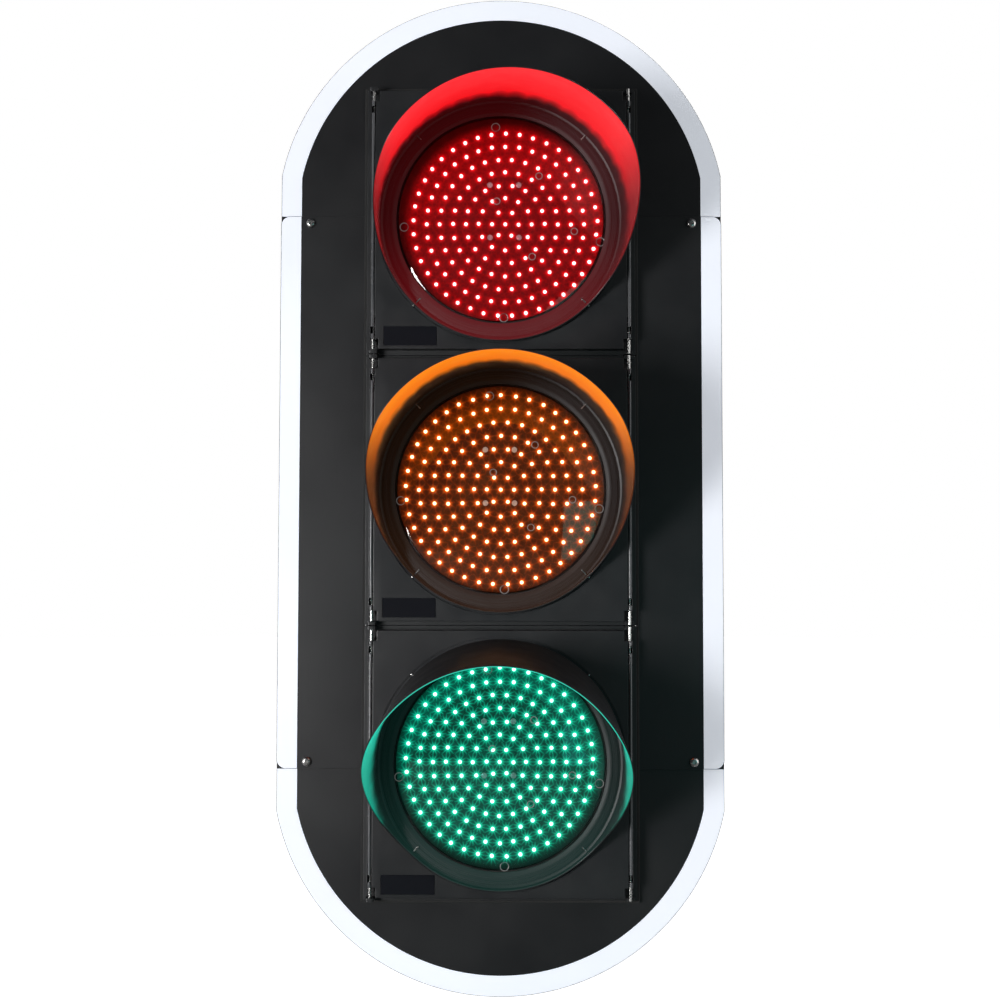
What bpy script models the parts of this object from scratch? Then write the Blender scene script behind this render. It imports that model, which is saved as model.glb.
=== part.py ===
"""Three-aspect traffic signal head with a pill-shaped backing board, built as an assembly.

Axes: +Z is up, the lenses face -Y, and +X is to the right seen from the front.
Origin: centre of the bottom entry hole, on the underside of the lowest casing.
Every length is in metres and every angle in degrees.

Three casings stand on each other. Each has a square door hinged on its left side and held
shut by two sliding pins on its right side, and each door carries a lamp module, its lens
and its visor. A backing board of four panels is screwed to brackets on the casings.
"""

import math

import bmesh
import bpy
from mathutils import Vector

GAP = 0.0003
ROUND_SIDES = 36
TUBE_SIDES = 24
SMALL_SIDES = 12
PEG_SIDES = 8
NUT_SIDES = 6
SHARP_ANGLE = 30

# Casings
ASPECTS = ("green", "amber", "red")
PITCH = 0.350
CASING_WIDTH = 0.350
CASING_FRONT = -0.050
CASING_BACK = 0.060
CASING_WALL = 0.0035
CASING_CORNER = 0.040
CASING_CORNER_STEPS = 5
MOUTH_WIDTH = 0.308
ENTRY_RADIUS = 0.026

# Doors
DOOR_SIDE = 0.338
DOOR_FRONT = -0.068
DOOR_BACK = -0.0526
DOOR_SHEET = 0.0035
DOOR_RIM = 0.012
DOOR_BLOCK = 0.044
COLLAR_OUTER = 0.155
COLLAR_INNER = 0.152
SEAT_RADIUS = 0.161
SEAT_DEPTH = 0.0015
PLATE_SIZE = (0.0686, 0.0252)
PLATE_CENTRE = (-0.117, -0.152)
PLATE_DEPTH = 0.0012
SEAL_OUTER = 0.163
SEAL_INNER = 0.156

# Hinge and latch pins
PIN_X = 0.1655
PIN_Y = -0.060
PIN_RADIUS = 0.002
PIN_BORE = 0.0023
PIN_DEPTH = 0.036
PIN_BORE_DEPTH = 0.043
PIN_STAND_OUT = 0.005
THUMB_PEG_DEPTH = 0.0215
THUMB_PEG_RADIUS = 0.0011
NOTCH_WIDTH = 0.011
NOTCH_HEIGHT = 0.013
WINDOW_SPAN = (0.020, 0.029)
WINDOW_HALF_WIDTH = 0.0028
LUG_WIDTH = 0.011
LUG_HEIGHT = 0.005
HINGE_LUG_FRONT = -0.066
HINGE_LUG_BORE = 0.0024

# Visors
VISOR_LENGTH = 0.200
VISOR_BASE = 0.158
VISOR_FLARE = 0.008
VISOR_WALL = 0.0025
VISOR_FLANGE_INNER = 0.136
# How far each visor points down, and how far to the right, from straight ahead.
VISOR_DROOP = {"green": 8.7, "amber": 4.0, "red": 9.0}
VISOR_LEAN = {"green": -1.3, "amber": 0.0, "red": 3.0}
# How much of the full length remains at each angle away from the top.
VISOR_REACH = (
    (0, 1.0),
    (60, 1.0),
    (76, 0.80),
    (93, 0.50),
    (106, 0.30),
    (123, 0.10),
    (137, 0.045),
    (180, 0.045),
)

# Lamp modules
LENS_RADIUS = 0.149
LENS_VISIBLE = 0.134
LENS_THICKNESS = 0.003
LENS_EDGE_Y = -0.0675
LENS_CROWN = 0.0125
LENS_BACK = -0.0589
LENS_STEPS = 4
GASKET_INNER = 0.1493
GASKET_OUTER = 0.1517
MODULE_RADIUS = 0.148
MODULE_FRONT = -0.0586
MODULE_SHOULDER = -0.040
MODULE_BACK = 0.005
MODULE_BACK_RADIUS = 0.105
MODULE_WALL = 0.0025
LED_BOARD_RADIUS = 0.143
LED_BOARD_Y = -0.050
LED_BOARD_THICKNESS = 0.0016

# Backing board
BOARD_HALF_WIDTH = 0.288
BOARD_ARC_CENTRE = 0.354
BOARD_ARC_RADIUS = 0.294
BOARD_ARC_STEPS = 28
BOARD_INNER_HALF_WIDTH = 0.177
BOARD_INNER_HALF_HEIGHT = 0.527
BOARD_SHEET = 0.003
BOARD_END_FRONT = -0.042
STRIP_HALF_LENGTH = 0.359
STRIP_CORNER = 0.011
STRIP_CORNER_STEPS = 4
OVERLAP_HALF_LENGTH = 0.339
BORDER_WIDTH = 0.0265
FILM_THICKNESS = 0.0004

# Brackets and fasteners
SCREW_X = 0.249
SCREW_Z = 0.350
SCREW_HEAD_RADIUS = 0.00625
SCREW_HEAD_HEIGHT = 0.0034
SCREW_CROWN_RADIUS = 0.0039
SCREW_SHOULDER_RADIUS = 0.0058
SCREW_SHOULDER_HEIGHT = 0.0019
SCREW_SOCKET_RADIUS = 0.00225
SCREW_SOCKET_FLOOR = 0.0012
SCREW_RADIUS = 0.003
SCREW_HOLE = 0.0034
SCREW_LENGTH = 0.015
ARM_HEIGHT = 0.030
ARM_THICKNESS = 0.003
ARM_REACH = 0.262
ARM_FOOT_BACK = -0.005
COUPLER_OUTER = 0.024
COUPLER_INNER = 0.019
COUPLER_LENGTH = 0.030
NUT_RADIUS = 0.034
NUT_THICKNESS = 0.007
CAP_RADIUS = 0.031
CAP_HEIGHT = 0.005
CAP_CHAMFER = 0.002
CAP_STEM_RADIUS = 0.0255
CAP_STEM_LENGTH = 0.012
TERMINAL_SIZE = (0.100, 0.018, 0.024)
TERMINAL_Z = 0.042
TERMINAL_BAYS = 6
TERMINAL_BAY_HALF_WIDTH = 0.005
TERMINAL_BAY_DEPTH = 0.006

# Worked out from the sizes above
CASING_HEIGHT = PITCH - GAP
STACK_HEIGHT = PITCH * len(ASPECTS) - GAP
BOARD_CENTRE_Z = STACK_HEIGHT / 2
DOOR_HALF = DOOR_SIDE / 2
DOOR_MARGIN = (CASING_HEIGHT - DOOR_SIDE) / 2

PLACE = {
    "Y": lambda u, v, w: (u, w, v),
    "Z": lambda u, v, w: (u, v, w),
}

FINISHES = {
    "casing_plastic": ((0.022, 0.024, 0.027), 0.45, 0.0),
    "door_plastic": ((0.026, 0.027, 0.031), 0.38, 0.0),
    "visor_plastic": ((0.020, 0.020, 0.022), 0.50, 0.0),
    "seal_rubber": ((0.012, 0.012, 0.012), 0.85, 0.0),
    "lens_green": ((0.02, 0.35, 0.26), 0.12, 0.0),
    "lens_amber": ((0.45, 0.16, 0.02), 0.12, 0.0),
    "lens_red": ((0.40, 0.01, 0.03), 0.12, 0.0),
    "module_plastic": ((0.030, 0.030, 0.032), 0.55, 0.0),
    "circuit_board": ((0.015, 0.020, 0.018), 0.50, 0.0),
    "board_sheet": ((0.020, 0.021, 0.024), 0.35, 0.0),
    "white_film": ((0.80, 0.83, 0.88), 0.30, 0.0),
    "stainless_steel": ((0.62, 0.61, 0.59), 0.25, 1.0),
    "zinc_plate": ((0.52, 0.53, 0.55), 0.40, 1.0),
    "terminal_plastic": ((0.60, 0.58, 0.52), 0.50, 0.0),
}


def finish(slot):
    """The material of one slot, made the first time it is asked for."""
    material = bpy.data.materials.get(slot)
    if material is None:
        colour, roughness, metallic = FINISHES[slot]
        material = bpy.data.materials.new(slot)
        material.use_nodes = True
        shader = material.node_tree.nodes["Principled BSDF"]
        shader.inputs["Base Color"].default_value = (*colour, 1.0)
        shader.inputs["Roughness"].default_value = roughness
        shader.inputs["Metallic"].default_value = metallic
    return material


def body(name, bm):
    """An object made from a finished bmesh, with its faces turned outwards."""
    bmesh.ops.recalc_face_normals(bm, faces=bm.faces[:])
    mesh = bpy.data.meshes.new(name)
    bm.to_mesh(mesh)
    bm.free()
    piece = bpy.data.objects.new(name, mesh)
    bpy.context.scene.collection.objects.link(piece)
    return piece


def close_loop(bm, points):
    """A closed ring of edges through the points."""
    corners = [bm.verts.new(point) for point in points]
    for start, end in zip(corners, corners[1:] + corners[:1]):
        bm.edges.new((start, end))


def prism(name, outline, low, high, axis="Y", holes=()):
    """A flat outline with holes, extruded along an axis from low to high."""
    bm = bmesh.new()
    for loop in (outline, *holes):
        close_loop(bm, [PLACE[axis](u, v, low) for u, v in loop])
    bmesh.ops.triangle_fill(bm, edges=bm.edges[:], use_beauty=True, use_dissolve=False)
    raised = bmesh.ops.extrude_face_region(bm, geom=bm.faces[:])["geom"]
    moved = [item for item in raised if isinstance(item, bmesh.types.BMVert)]
    bmesh.ops.translate(bm, verts=moved, vec=Vector(PLACE[axis](0, 0, high - low)))
    return body(name, bm)


def turned(name, outline, axis="Y", sides=ROUND_SIDES):
    """A solid turned about an axis through the origin, from (radius, place along the axis) points."""
    bm = bmesh.new()
    corners = [bm.verts.new(PLACE[axis](radius, 0, along)) for radius, along in outline]
    ends = list(zip(outline, outline[1:] + outline[:1]))
    edges = []
    for index, ((radius_a, _), (radius_b, _)) in enumerate(ends):
        if radius_a or radius_b:
            edges.append(bm.edges.new((corners[index], corners[(index + 1) % len(corners)])))
    bmesh.ops.spin(
        bm,
        geom=corners + edges,
        axis=Vector(PLACE[axis](0, 0, 1)),
        cent=(0, 0, 0),
        angle=math.tau,
        steps=sides,
        use_merge=True,
    )
    bmesh.ops.remove_doubles(bm, verts=bm.verts[:], dist=1e-6)
    return body(name, bm)


def block(name, low, high):
    """A box between two corners."""
    outline = ((low[0], low[1]), (high[0], low[1]), (high[0], high[1]), (low[0], high[1]))
    return prism(name, outline, low[2], high[2], axis="Z")


def carve(target, tool, operation="DIFFERENCE"):
    """Cuts another body out of the target, or joins it on, and drops that body."""
    boolean = target.modifiers.new("carve", "BOOLEAN")
    boolean.operation = operation
    boolean.solver = "EXACT"
    boolean.object = tool
    shaped = bpy.data.meshes.new_from_object(target.evaluated_get(bpy.context.evaluated_depsgraph_get()))
    target.modifiers.clear()
    target.data = shaped
    bpy.data.objects.remove(tool)


def round_rod(name, radius, low, high, axis="Z", at=(0, 0), sides=SMALL_SIDES):
    """A straight round rod along an axis, its centre line through the point given across that axis."""
    return prism(name, circle(radius, at, sides), low, high, axis)


def circle(radius, at=(0, 0), sides=ROUND_SIDES):
    """The corners of a regular polygon standing for a circle."""
    turns = (math.tau * step / sides for step in range(sides))
    return [(at[0] + radius * math.cos(turn), at[1] + radius * math.sin(turn)) for turn in turns]


def arc(centre, radius, start, end, steps):
    """Points along an arc, with both its ends."""
    angles = (math.radians(start + (end - start) * step / steps) for step in range(steps + 1))
    return [(centre[0] + radius * math.cos(a), centre[1] + radius * math.sin(a)) for a in angles]


def square(half, centre=(0, 0)):
    """The corners of a square."""
    u, v = centre
    return [(u - half, v - half), (u + half, v - half), (u + half, v + half), (u - half, v + half)]


def place(piece, slot, location=(0, 0, 0), parent=None, smooth=True):
    """Gives a piece its finish, its place and its parent."""
    piece.data.materials.clear()
    piece.data.materials.append(finish(slot))
    piece.location = location
    piece.parent = parent
    if smooth:
        piece.data.shade_smooth()
        piece.data.set_sharp_from_angle(angle=math.radians(SHARP_ANGLE))
    return piece


def copy_of(piece, name):
    """Another object of its own with the same mesh."""
    twin = bpy.data.objects.new(name, piece.data.copy())
    bpy.context.scene.collection.objects.link(twin)
    return twin


# Casings


def casing_plan(inset):
    """The casing seen from above: a straight front and a back with two large round corners."""
    half = CASING_WIDTH / 2 - inset
    radius = CASING_CORNER - inset
    back = CASING_BACK - inset
    corner_y = back - radius
    front = CASING_FRONT + inset
    return (
        [(-half, front), (half, front)]
        + arc((half - radius, corner_y), radius, 0, 90, CASING_CORNER_STEPS)
        + arc((radius - half, corner_y), radius, 90, 180, CASING_CORNER_STEPS)
    )


def casing_shell():
    """One casing, with its mouth, its entry holes and the four lugs that hold the door's pins."""
    shell = prism("casing", casing_plan(0), 0, CASING_HEIGHT, axis="Z")
    hollow = prism("hollow", casing_plan(CASING_WALL), CASING_WALL, CASING_HEIGHT - CASING_WALL, axis="Z")
    carve(shell, hollow)
    mouth = square(MOUTH_WIDTH / 2, (0, CASING_HEIGHT / 2))
    carve(shell, prism("mouth", mouth, CASING_FRONT - GAP, CASING_FRONT + CASING_WALL + GAP))
    for low in (-GAP, CASING_HEIGHT - CASING_WALL - GAP):
        entry = circle(ENTRY_RADIUS)
        carve(shell, prism("entry", entry, low, low + CASING_WALL + 2 * GAP, axis="Z"))
    lug_inset = (DOOR_MARGIN - LUG_HEIGHT) / 2
    for bottom in (lug_inset, CASING_HEIGHT - lug_inset - LUG_HEIGHT):
        carve(shell, hinge_lug(bottom), "UNION")
        carve(shell, latch_lug(bottom), "UNION")
    return shell


def lug_block(name, centre_x, bottom, front):
    """The block of one lug, run a little into the casing's front wall."""
    low = (centre_x - LUG_WIDTH / 2, front, bottom)
    high = (centre_x + LUG_WIDTH / 2, CASING_FRONT + CASING_WALL / 2, bottom + LUG_HEIGHT)
    return block(name, low, high)


def hinge_lug(bottom):
    """A lug with a round bore for a hinge pin."""
    lug = lug_block("hinge_lug", -PIN_X, bottom, HINGE_LUG_FRONT)
    bore = round_rod("bore", HINGE_LUG_BORE, bottom - GAP, bottom + LUG_HEIGHT + GAP, at=(-PIN_X, PIN_Y))
    carve(lug, bore)
    return lug


def latch_lug(bottom):
    """The rear half of a latch pin's keeper: a step close behind the pin, open in front of it."""
    return lug_block("latch_lug", PIN_X, bottom, PIN_Y + PIN_RADIUS + GAP)


# Doors and what they carry, around the centre of the lens


def corner_box(name, side, end, x_span, z_span, y_span):
    """A box in one door corner, its spans counted inwards from the door's side and end edges."""
    xs = sorted(side * (DOOR_HALF - distance) for distance in x_span)
    zs = sorted(end * (DOOR_HALF - distance) for distance in z_span)
    return block(name, (xs[0], y_span[0], zs[0]), (xs[1], y_span[1], zs[1]))


def door_leaf():
    """The door: a shallow tray with solid corners, a round collar and a seat for the visor."""
    leaf = prism("door", square(DOOR_HALF), DOOR_FRONT, DOOR_BACK)
    inner = DOOR_HALF - DOOR_RIM
    arm = DOOR_HALF - DOOR_BLOCK
    quarter = [(inner, -arm), (inner, arm), (arm, arm)]
    turns = ((1, 0), (0, 1), (-1, 0), (0, -1))
    cross = [(c * u - s * v, s * u + c * v) for c, s in turns for u, v in quarter]
    floor = DOOR_FRONT + DOOR_SHEET
    carve(leaf, prism("pocket", cross, floor, DOOR_BACK + GAP, holes=(circle(COLLAR_OUTER),)))
    carve(leaf, prism("aperture", circle(COLLAR_INNER), DOOR_FRONT - GAP, DOOR_BACK + GAP))
    carve(leaf, prism("seat", circle(SEAT_RADIUS), DOOR_FRONT - GAP, DOOR_FRONT + SEAT_DEPTH))
    half_x, half_z = (extent / 2 for extent in PLATE_SIZE)
    plate_low = (PLATE_CENTRE[0] - half_x, DOOR_FRONT - GAP, PLATE_CENTRE[1] - half_z)
    plate_high = (PLATE_CENTRE[0] + half_x, DOOR_FRONT + PLATE_DEPTH, PLATE_CENTRE[1] + half_z)
    carve(leaf, block("plate_recess", plate_low, plate_high))
    whole_depth = (DOOR_FRONT - GAP, DOOR_BACK + GAP)
    pin_inset = DOOR_HALF - PIN_X
    window_x = (pin_inset - WINDOW_HALF_WIDTH, pin_inset + WINDOW_HALF_WIDTH)
    window_y = (DOOR_FRONT - GAP, PIN_Y + PIN_BORE)
    for side in (-1, 1):
        for end in (-1, 1):
            notch = corner_box("notch", side, end, (-GAP, NOTCH_WIDTH), (-GAP, NOTCH_HEIGHT), whole_depth)
            carve(leaf, notch)
            span = sorted(end * (DOOR_HALF - depth) for depth in (NOTCH_HEIGHT - GAP, PIN_BORE_DEPTH))
            carve(leaf, round_rod("bore", PIN_BORE, *span, at=(side * PIN_X, PIN_Y)))
            carve(leaf, corner_box("window", side, end, window_x, WINDOW_SPAN, window_y))
    return leaf


def door_seal():
    """The square foam seal between the door's back and the casing's front."""
    back = CASING_FRONT - GAP
    front = DOOR_BACK + GAP
    return prism("door_seal", square(SEAL_OUTER), front, back, holes=(square(SEAL_INNER),))


def visor_reach(angle_from_top):
    """The share of the full length that the visor has at an angle away from its top."""
    for (angle_a, reach_a), (angle_b, reach_b) in zip(VISOR_REACH, VISOR_REACH[1:]):
        if angle_from_top <= angle_b:
            part = (angle_from_top - angle_a) / (angle_b - angle_a)
            return reach_a + (reach_b - reach_a) * part
    return VISOR_REACH[-1][1]


def visor_hood(droop, lean):
    """A cutaway visor: a flange, and a flared round wall that points down and sideways by two angles."""
    back = DOOR_FRONT + SEAT_DEPTH - GAP
    fall = math.tan(math.radians(droop))
    drift = math.tan(math.radians(lean))
    bm = bmesh.new()
    sections = []
    for step in range(ROUND_SIDES):
        turn = math.tau * step / ROUND_SIDES
        from_top = abs((math.degrees(turn) + 90) % 360 - 180)
        length = VISOR_LENGTH * visor_reach(from_top)
        rim = VISOR_BASE + VISOR_FLARE * length / VISOR_LENGTH
        outline = (
            (VISOR_FLANGE_INNER, 0),
            (VISOR_BASE, 0),
            (rim, length),
            (rim - VISOR_WALL, length),
            (VISOR_BASE - VISOR_WALL, VISOR_WALL),
            (VISOR_FLANGE_INNER, VISOR_WALL),
        )
        section = []
        for radius, out in outline:
            x = radius * math.cos(turn) + out * drift
            z = radius * math.sin(turn) - out * fall
            section.append(bm.verts.new((x, back - out, z)))
        sections.append(section)
    for near, far in zip(sections, sections[1:] + sections[:1]):
        for corner in range(len(near)):
            after = (corner + 1) % len(near)
            bm.faces.new((near[corner], near[after], far[after], far[corner]))
    return body("visor", bm)


def lens_dome():
    """The tinted lens: a shallow crowned front with a short skirt."""
    crown_radius = (LENS_VISIBLE**2 + LENS_CROWN**2) / (2 * LENS_CROWN)

    def crown(radius, lowering):
        height = math.sqrt(crown_radius**2 - radius**2) - (crown_radius - LENS_CROWN)
        return (radius, LENS_EDGE_Y - height + lowering)

    front = [crown(LENS_VISIBLE * step / LENS_STEPS, 0) for step in range(LENS_STEPS + 1)]
    inside = LENS_VISIBLE - LENS_THICKNESS
    inward = reversed(range(LENS_STEPS + 1))
    behind = [crown(inside * step / LENS_STEPS, LENS_THICKNESS) for step in inward]
    flange_front = DOOR_FRONT + SEAT_DEPTH + GAP
    skirt = [
        (LENS_VISIBLE, flange_front),
        (LENS_RADIUS, flange_front),
        (LENS_RADIUS, LENS_BACK),
        (LENS_RADIUS - LENS_THICKNESS, LENS_BACK),
        (LENS_RADIUS - LENS_THICKNESS, flange_front + LENS_THICKNESS),
    ]
    return turned("lens", front + skirt + behind)


def lens_gasket():
    """The ring seal between the lens and the door's collar."""
    front = DOOR_FRONT + SEAT_DEPTH + GAP
    outline = [
        (GASKET_INNER, front),
        (GASKET_OUTER, front),
        (GASKET_OUTER, DOOR_BACK),
        (GASKET_INNER, DOOR_BACK),
    ]
    return turned("lens_gasket", outline)


def module_case():
    """The bowl behind the lens that holds the light source and its power supply."""
    inner = MODULE_RADIUS - MODULE_WALL
    inner_back = MODULE_BACK_RADIUS - MODULE_WALL
    outline = [
        (0, MODULE_BACK),
        (MODULE_BACK_RADIUS, MODULE_BACK),
        (MODULE_RADIUS, MODULE_SHOULDER),
        (MODULE_RADIUS, MODULE_FRONT),
        (inner, MODULE_FRONT),
        (inner, MODULE_SHOULDER),
        (inner_back, MODULE_BACK - MODULE_WALL),
        (0, MODULE_BACK - MODULE_WALL),
    ]
    return turned("module_case", outline)


def led_board():
    """The round circuit board that carries the light-emitting diodes."""
    return prism("led_board", circle(LED_BOARD_RADIUS), LED_BOARD_Y, LED_BOARD_Y + LED_BOARD_THICKNESS)


def hinge_pin(end):
    """A plain round pin from a casing lug into the door, its origin at the door's end edge."""
    span = sorted((end * PIN_STAND_OUT, -end * PIN_DEPTH))
    return round_rod("hinge_pin", PIN_RADIUS, *span)


def latch_pin(end):
    """The same pin with a thumb peg, which is pushed inwards to let the door go."""
    pin = hinge_pin(end)
    peg_z = -end * THUMB_PEG_DEPTH
    reach = DOOR_FRONT - PIN_Y + PIN_RADIUS / 2
    peg = round_rod("peg", THUMB_PEG_RADIUS, reach, 0, axis="Y", at=(0, peg_z), sides=PEG_SIDES)
    carve(pin, peg, "UNION")
    return pin


# Backing board, around the centre of the board


def board_half_outline(inset, low):
    """The top half of the board's outline, moved inwards, from left to right over the arc."""
    half = BOARD_HALF_WIDTH - inset
    radius = BOARD_ARC_RADIUS - inset
    start = math.degrees(math.acos(half / radius))
    curve = arc((0, BOARD_ARC_CENTRE), radius, start, 180 - start, BOARD_ARC_STEPS)
    return [(half, low)] + curve + [(-half, low)]


def mirrored(outline, end):
    """The outline as it is, or turned upside down for the lower end."""
    return [(u, end * v) for u, v in outline]


def end_panel(end):
    """The panel over one end of the casings, with two legs that run under the side strips."""
    inner = [
        (-BOARD_INNER_HALF_WIDTH, OVERLAP_HALF_LENGTH),
        (-BOARD_INNER_HALF_WIDTH, BOARD_INNER_HALF_HEIGHT),
        (BOARD_INNER_HALF_WIDTH, BOARD_INNER_HALF_HEIGHT),
        (BOARD_INNER_HALF_WIDTH, OVERLAP_HALF_LENGTH),
    ]
    outline = mirrored(board_half_outline(0, OVERLAP_HALF_LENGTH) + inner, end)
    holes = [circle(SCREW_HOLE, (side * SCREW_X, end * SCREW_Z), SMALL_SIDES) for side in (-1, 1)]
    return prism("board_end", outline, BOARD_END_FRONT, BOARD_END_FRONT + BOARD_SHEET, holes=holes)


def strip_outline(side, inner):
    """A side strip or its film: straight inside, with two round corners outside."""
    corner = BOARD_HALF_WIDTH - STRIP_CORNER
    end = STRIP_HALF_LENGTH - STRIP_CORNER
    points = (
        [(inner, STRIP_HALF_LENGTH), (inner, -STRIP_HALF_LENGTH)]
        + arc((corner, -end), STRIP_CORNER, -90, 0, STRIP_CORNER_STEPS)
        + arc((corner, end), STRIP_CORNER, 0, 90, STRIP_CORNER_STEPS)
    )
    return [(side * u, v) for u, v in points]


def side_strip(side):
    """The long panel beside the casings, in front of both end panels."""
    front = BOARD_END_FRONT - GAP - BOARD_SHEET
    holes = [circle(SCREW_HOLE, (side * SCREW_X, end * SCREW_Z), SMALL_SIDES) for end in (-1, 1)]
    outline = strip_outline(side, BOARD_INNER_HALF_WIDTH)
    return prism("board_side", outline, front, front + BOARD_SHEET, holes=holes)


def end_film(end):
    """The white film round one end panel's edge."""
    low = STRIP_HALF_LENGTH + GAP
    inner = list(reversed(board_half_outline(BORDER_WIDTH, low)))
    outline = mirrored(board_half_outline(0, low) + inner, end)
    front = BOARD_END_FRONT - GAP - FILM_THICKNESS
    return prism("film_end", outline, front, front + FILM_THICKNESS)


def side_film(side):
    """The white film along one side strip's outer edge."""
    strip_front = BOARD_END_FRONT - GAP - BOARD_SHEET
    front = strip_front - GAP - FILM_THICKNESS
    outline = strip_outline(side, BOARD_HALF_WIDTH - BORDER_WIDTH)
    return prism("film_side", outline, front, front + FILM_THICKNESS)


# Brackets and fasteners


def board_screw():
    """A button-head screw with a hexagon socket. Its head points to -Y from the origin."""
    outline = [
        (0, -SCREW_HEAD_HEIGHT),
        (SCREW_CROWN_RADIUS, -SCREW_HEAD_HEIGHT),
        (SCREW_SHOULDER_RADIUS, -SCREW_SHOULDER_HEIGHT),
        (SCREW_HEAD_RADIUS, 0),
        (SCREW_RADIUS, 0),
        (SCREW_RADIUS, SCREW_LENGTH),
        (0, SCREW_LENGTH),
    ]
    screw = turned("screw", outline, sides=SMALL_SIDES)
    hexagon = circle(SCREW_SOCKET_RADIUS, sides=NUT_SIDES)
    carve(screw, prism("socket", hexagon, -SCREW_HEAD_HEIGHT - GAP, -SCREW_SOCKET_FLOOR))
    return screw


def board_arm(side):
    """A bent strip from a casing's side out to a board screw, its middle height at the origin."""
    wall = CASING_WIDTH / 2 + GAP
    front = BOARD_END_FRONT + BOARD_SHEET + GAP
    plan = [
        (wall, front),
        (ARM_REACH, front),
        (ARM_REACH, front + ARM_THICKNESS),
        (wall + ARM_THICKNESS, front + ARM_THICKNESS),
        (wall + ARM_THICKNESS, ARM_FOOT_BACK),
        (wall, ARM_FOOT_BACK),
    ]
    outline = [(side * u, v) for u, v in plan]
    arm = prism("arm", outline, -ARM_HEIGHT / 2, ARM_HEIGHT / 2, axis="Z")
    hole = circle(SCREW_HOLE, (side * SCREW_X, 0), SMALL_SIDES)
    carve(arm, prism("hole", hole, front - GAP, front + ARM_THICKNESS + GAP))
    return arm


def coupler():
    """The threaded tube that joins two casings and lets the wires through, its middle at the origin."""
    half = COUPLER_LENGTH / 2
    outline = [(COUPLER_INNER, -half), (COUPLER_OUTER, -half), (COUPLER_OUTER, half), (COUPLER_INNER, half)]
    return turned("coupler", outline, axis="Z", sides=TUBE_SIDES)


def locknut(low):
    """A hexagon nut on a coupler, with its lower face at the height given."""
    bore = circle(COUPLER_OUTER + GAP, sides=TUBE_SIDES)
    hexagon = circle(NUT_RADIUS, sides=NUT_SIDES)
    return prism("locknut", hexagon, low, low + NUT_THICKNESS, axis="Z", holes=(bore,))


def entry_cap():
    """The plug of the unused top entry: a flat head over the hole and a stem in it."""
    outline = [
        (0, CAP_HEIGHT),
        (CAP_RADIUS - CAP_CHAMFER, CAP_HEIGHT),
        (CAP_RADIUS, CAP_HEIGHT - CAP_CHAMFER),
        (CAP_RADIUS, GAP),
        (CAP_STEM_RADIUS, GAP),
        (CAP_STEM_RADIUS, -CAP_STEM_LENGTH),
        (0, -CAP_STEM_LENGTH),
    ]
    return turned("entry_cap", outline, axis="Z", sides=TUBE_SIDES)


def terminal_block():
    """The wiring terminals on the lowest casing's back wall, as a rail with a row of screw bays."""
    width, depth, height = TERMINAL_SIZE
    back = CASING_BACK - CASING_WALL - GAP
    rail = block("terminals", (-width / 2, back - depth, -height / 2), (width / 2, back, height / 2))
    pitch = width / TERMINAL_BAYS
    for bay in range(TERMINAL_BAYS):
        centre = (bay + 0.5) * pitch - width / 2
        low = (centre - TERMINAL_BAY_HALF_WIDTH, back - depth - GAP, -height / 4)
        high = (centre + TERMINAL_BAY_HALF_WIDTH, back - depth + TERMINAL_BAY_DEPTH, height / 4)
        carve(rail, block("bay", low, high))
    return rail


# Assembly


def build_section(index, aspect, shapes):
    """One casing with its door, lamp module, visor and pins."""
    floor = index * PITCH
    place(copy_of(shapes["casing"], f"casing_{aspect}"), "casing_plastic", (0, 0, floor))
    lens_z = floor + CASING_HEIGHT / 2
    hinge = bpy.data.objects.new(f"hinge_axis_{aspect}", None)
    bpy.context.scene.collection.objects.link(hinge)
    hinge.location = (-PIN_X, PIN_Y, lens_z)
    from_hinge = (PIN_X, -PIN_Y, 0)
    carried = (
        ("door", "door_plastic"),
        ("door_seal", "seal_rubber"),
        ("lens", f"lens_{aspect}"),
        ("lens_gasket", "seal_rubber"),
        ("module_case", "module_plastic"),
        ("led_board", "circuit_board"),
    )
    for shape, slot in carried:
        place(copy_of(shapes[shape], f"{shape}_{aspect}"), slot, from_hinge, hinge)
    visor = visor_hood(VISOR_DROOP[aspect], VISOR_LEAN[aspect])
    visor.name = f"visor_{aspect}"
    place(visor, "visor_plastic", from_hinge, hinge)
    for end_name, end in (("top", 1), ("bottom", -1)):
        edge = end * DOOR_HALF
        hinge_name = f"hinge_pin_{aspect}_{end_name}"
        latch_name = f"latch_pin_{aspect}_{end_name}"
        place(copy_of(shapes[f"hinge_pin_{end_name}"], hinge_name), "stainless_steel", (0, 0, edge), hinge)
        latch_place = (2 * PIN_X, 0, edge)
        place(copy_of(shapes[f"latch_pin_{end_name}"], latch_name), "stainless_steel", latch_place, hinge)


def build_board():
    """The backing board's panels, their film edges, brackets and screws."""
    centre = (0, 0, BOARD_CENTRE_Z)
    head_y = BOARD_END_FRONT - 2 * GAP - BOARD_SHEET
    for end_name, end in (("top", 1), ("bottom", -1)):
        panel = place(end_panel(end), "board_sheet", centre, smooth=False)
        panel.name = f"board_{end_name}"
        film = place(end_film(end), "white_film", centre, smooth=False)
        film.name = f"border_{end_name}"
    for side_name, side in (("left", -1), ("right", 1)):
        strip = place(side_strip(side), "board_sheet", centre, smooth=False)
        strip.name = f"board_{side_name}"
        film = place(side_film(side), "white_film", centre, smooth=False)
        film.name = f"border_{side_name}"
        for end_name, end in (("top", 1), ("bottom", -1)):
            height = BOARD_CENTRE_Z + end * SCREW_Z
            arm = place(board_arm(side), "zinc_plate", (0, 0, height), smooth=False)
            arm.name = f"board_arm_{end_name}_{side_name}"
            screw = place(board_screw(), "stainless_steel", (side * SCREW_X, head_y, height))
            screw.name = f"board_screw_{end_name}_{side_name}"


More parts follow.
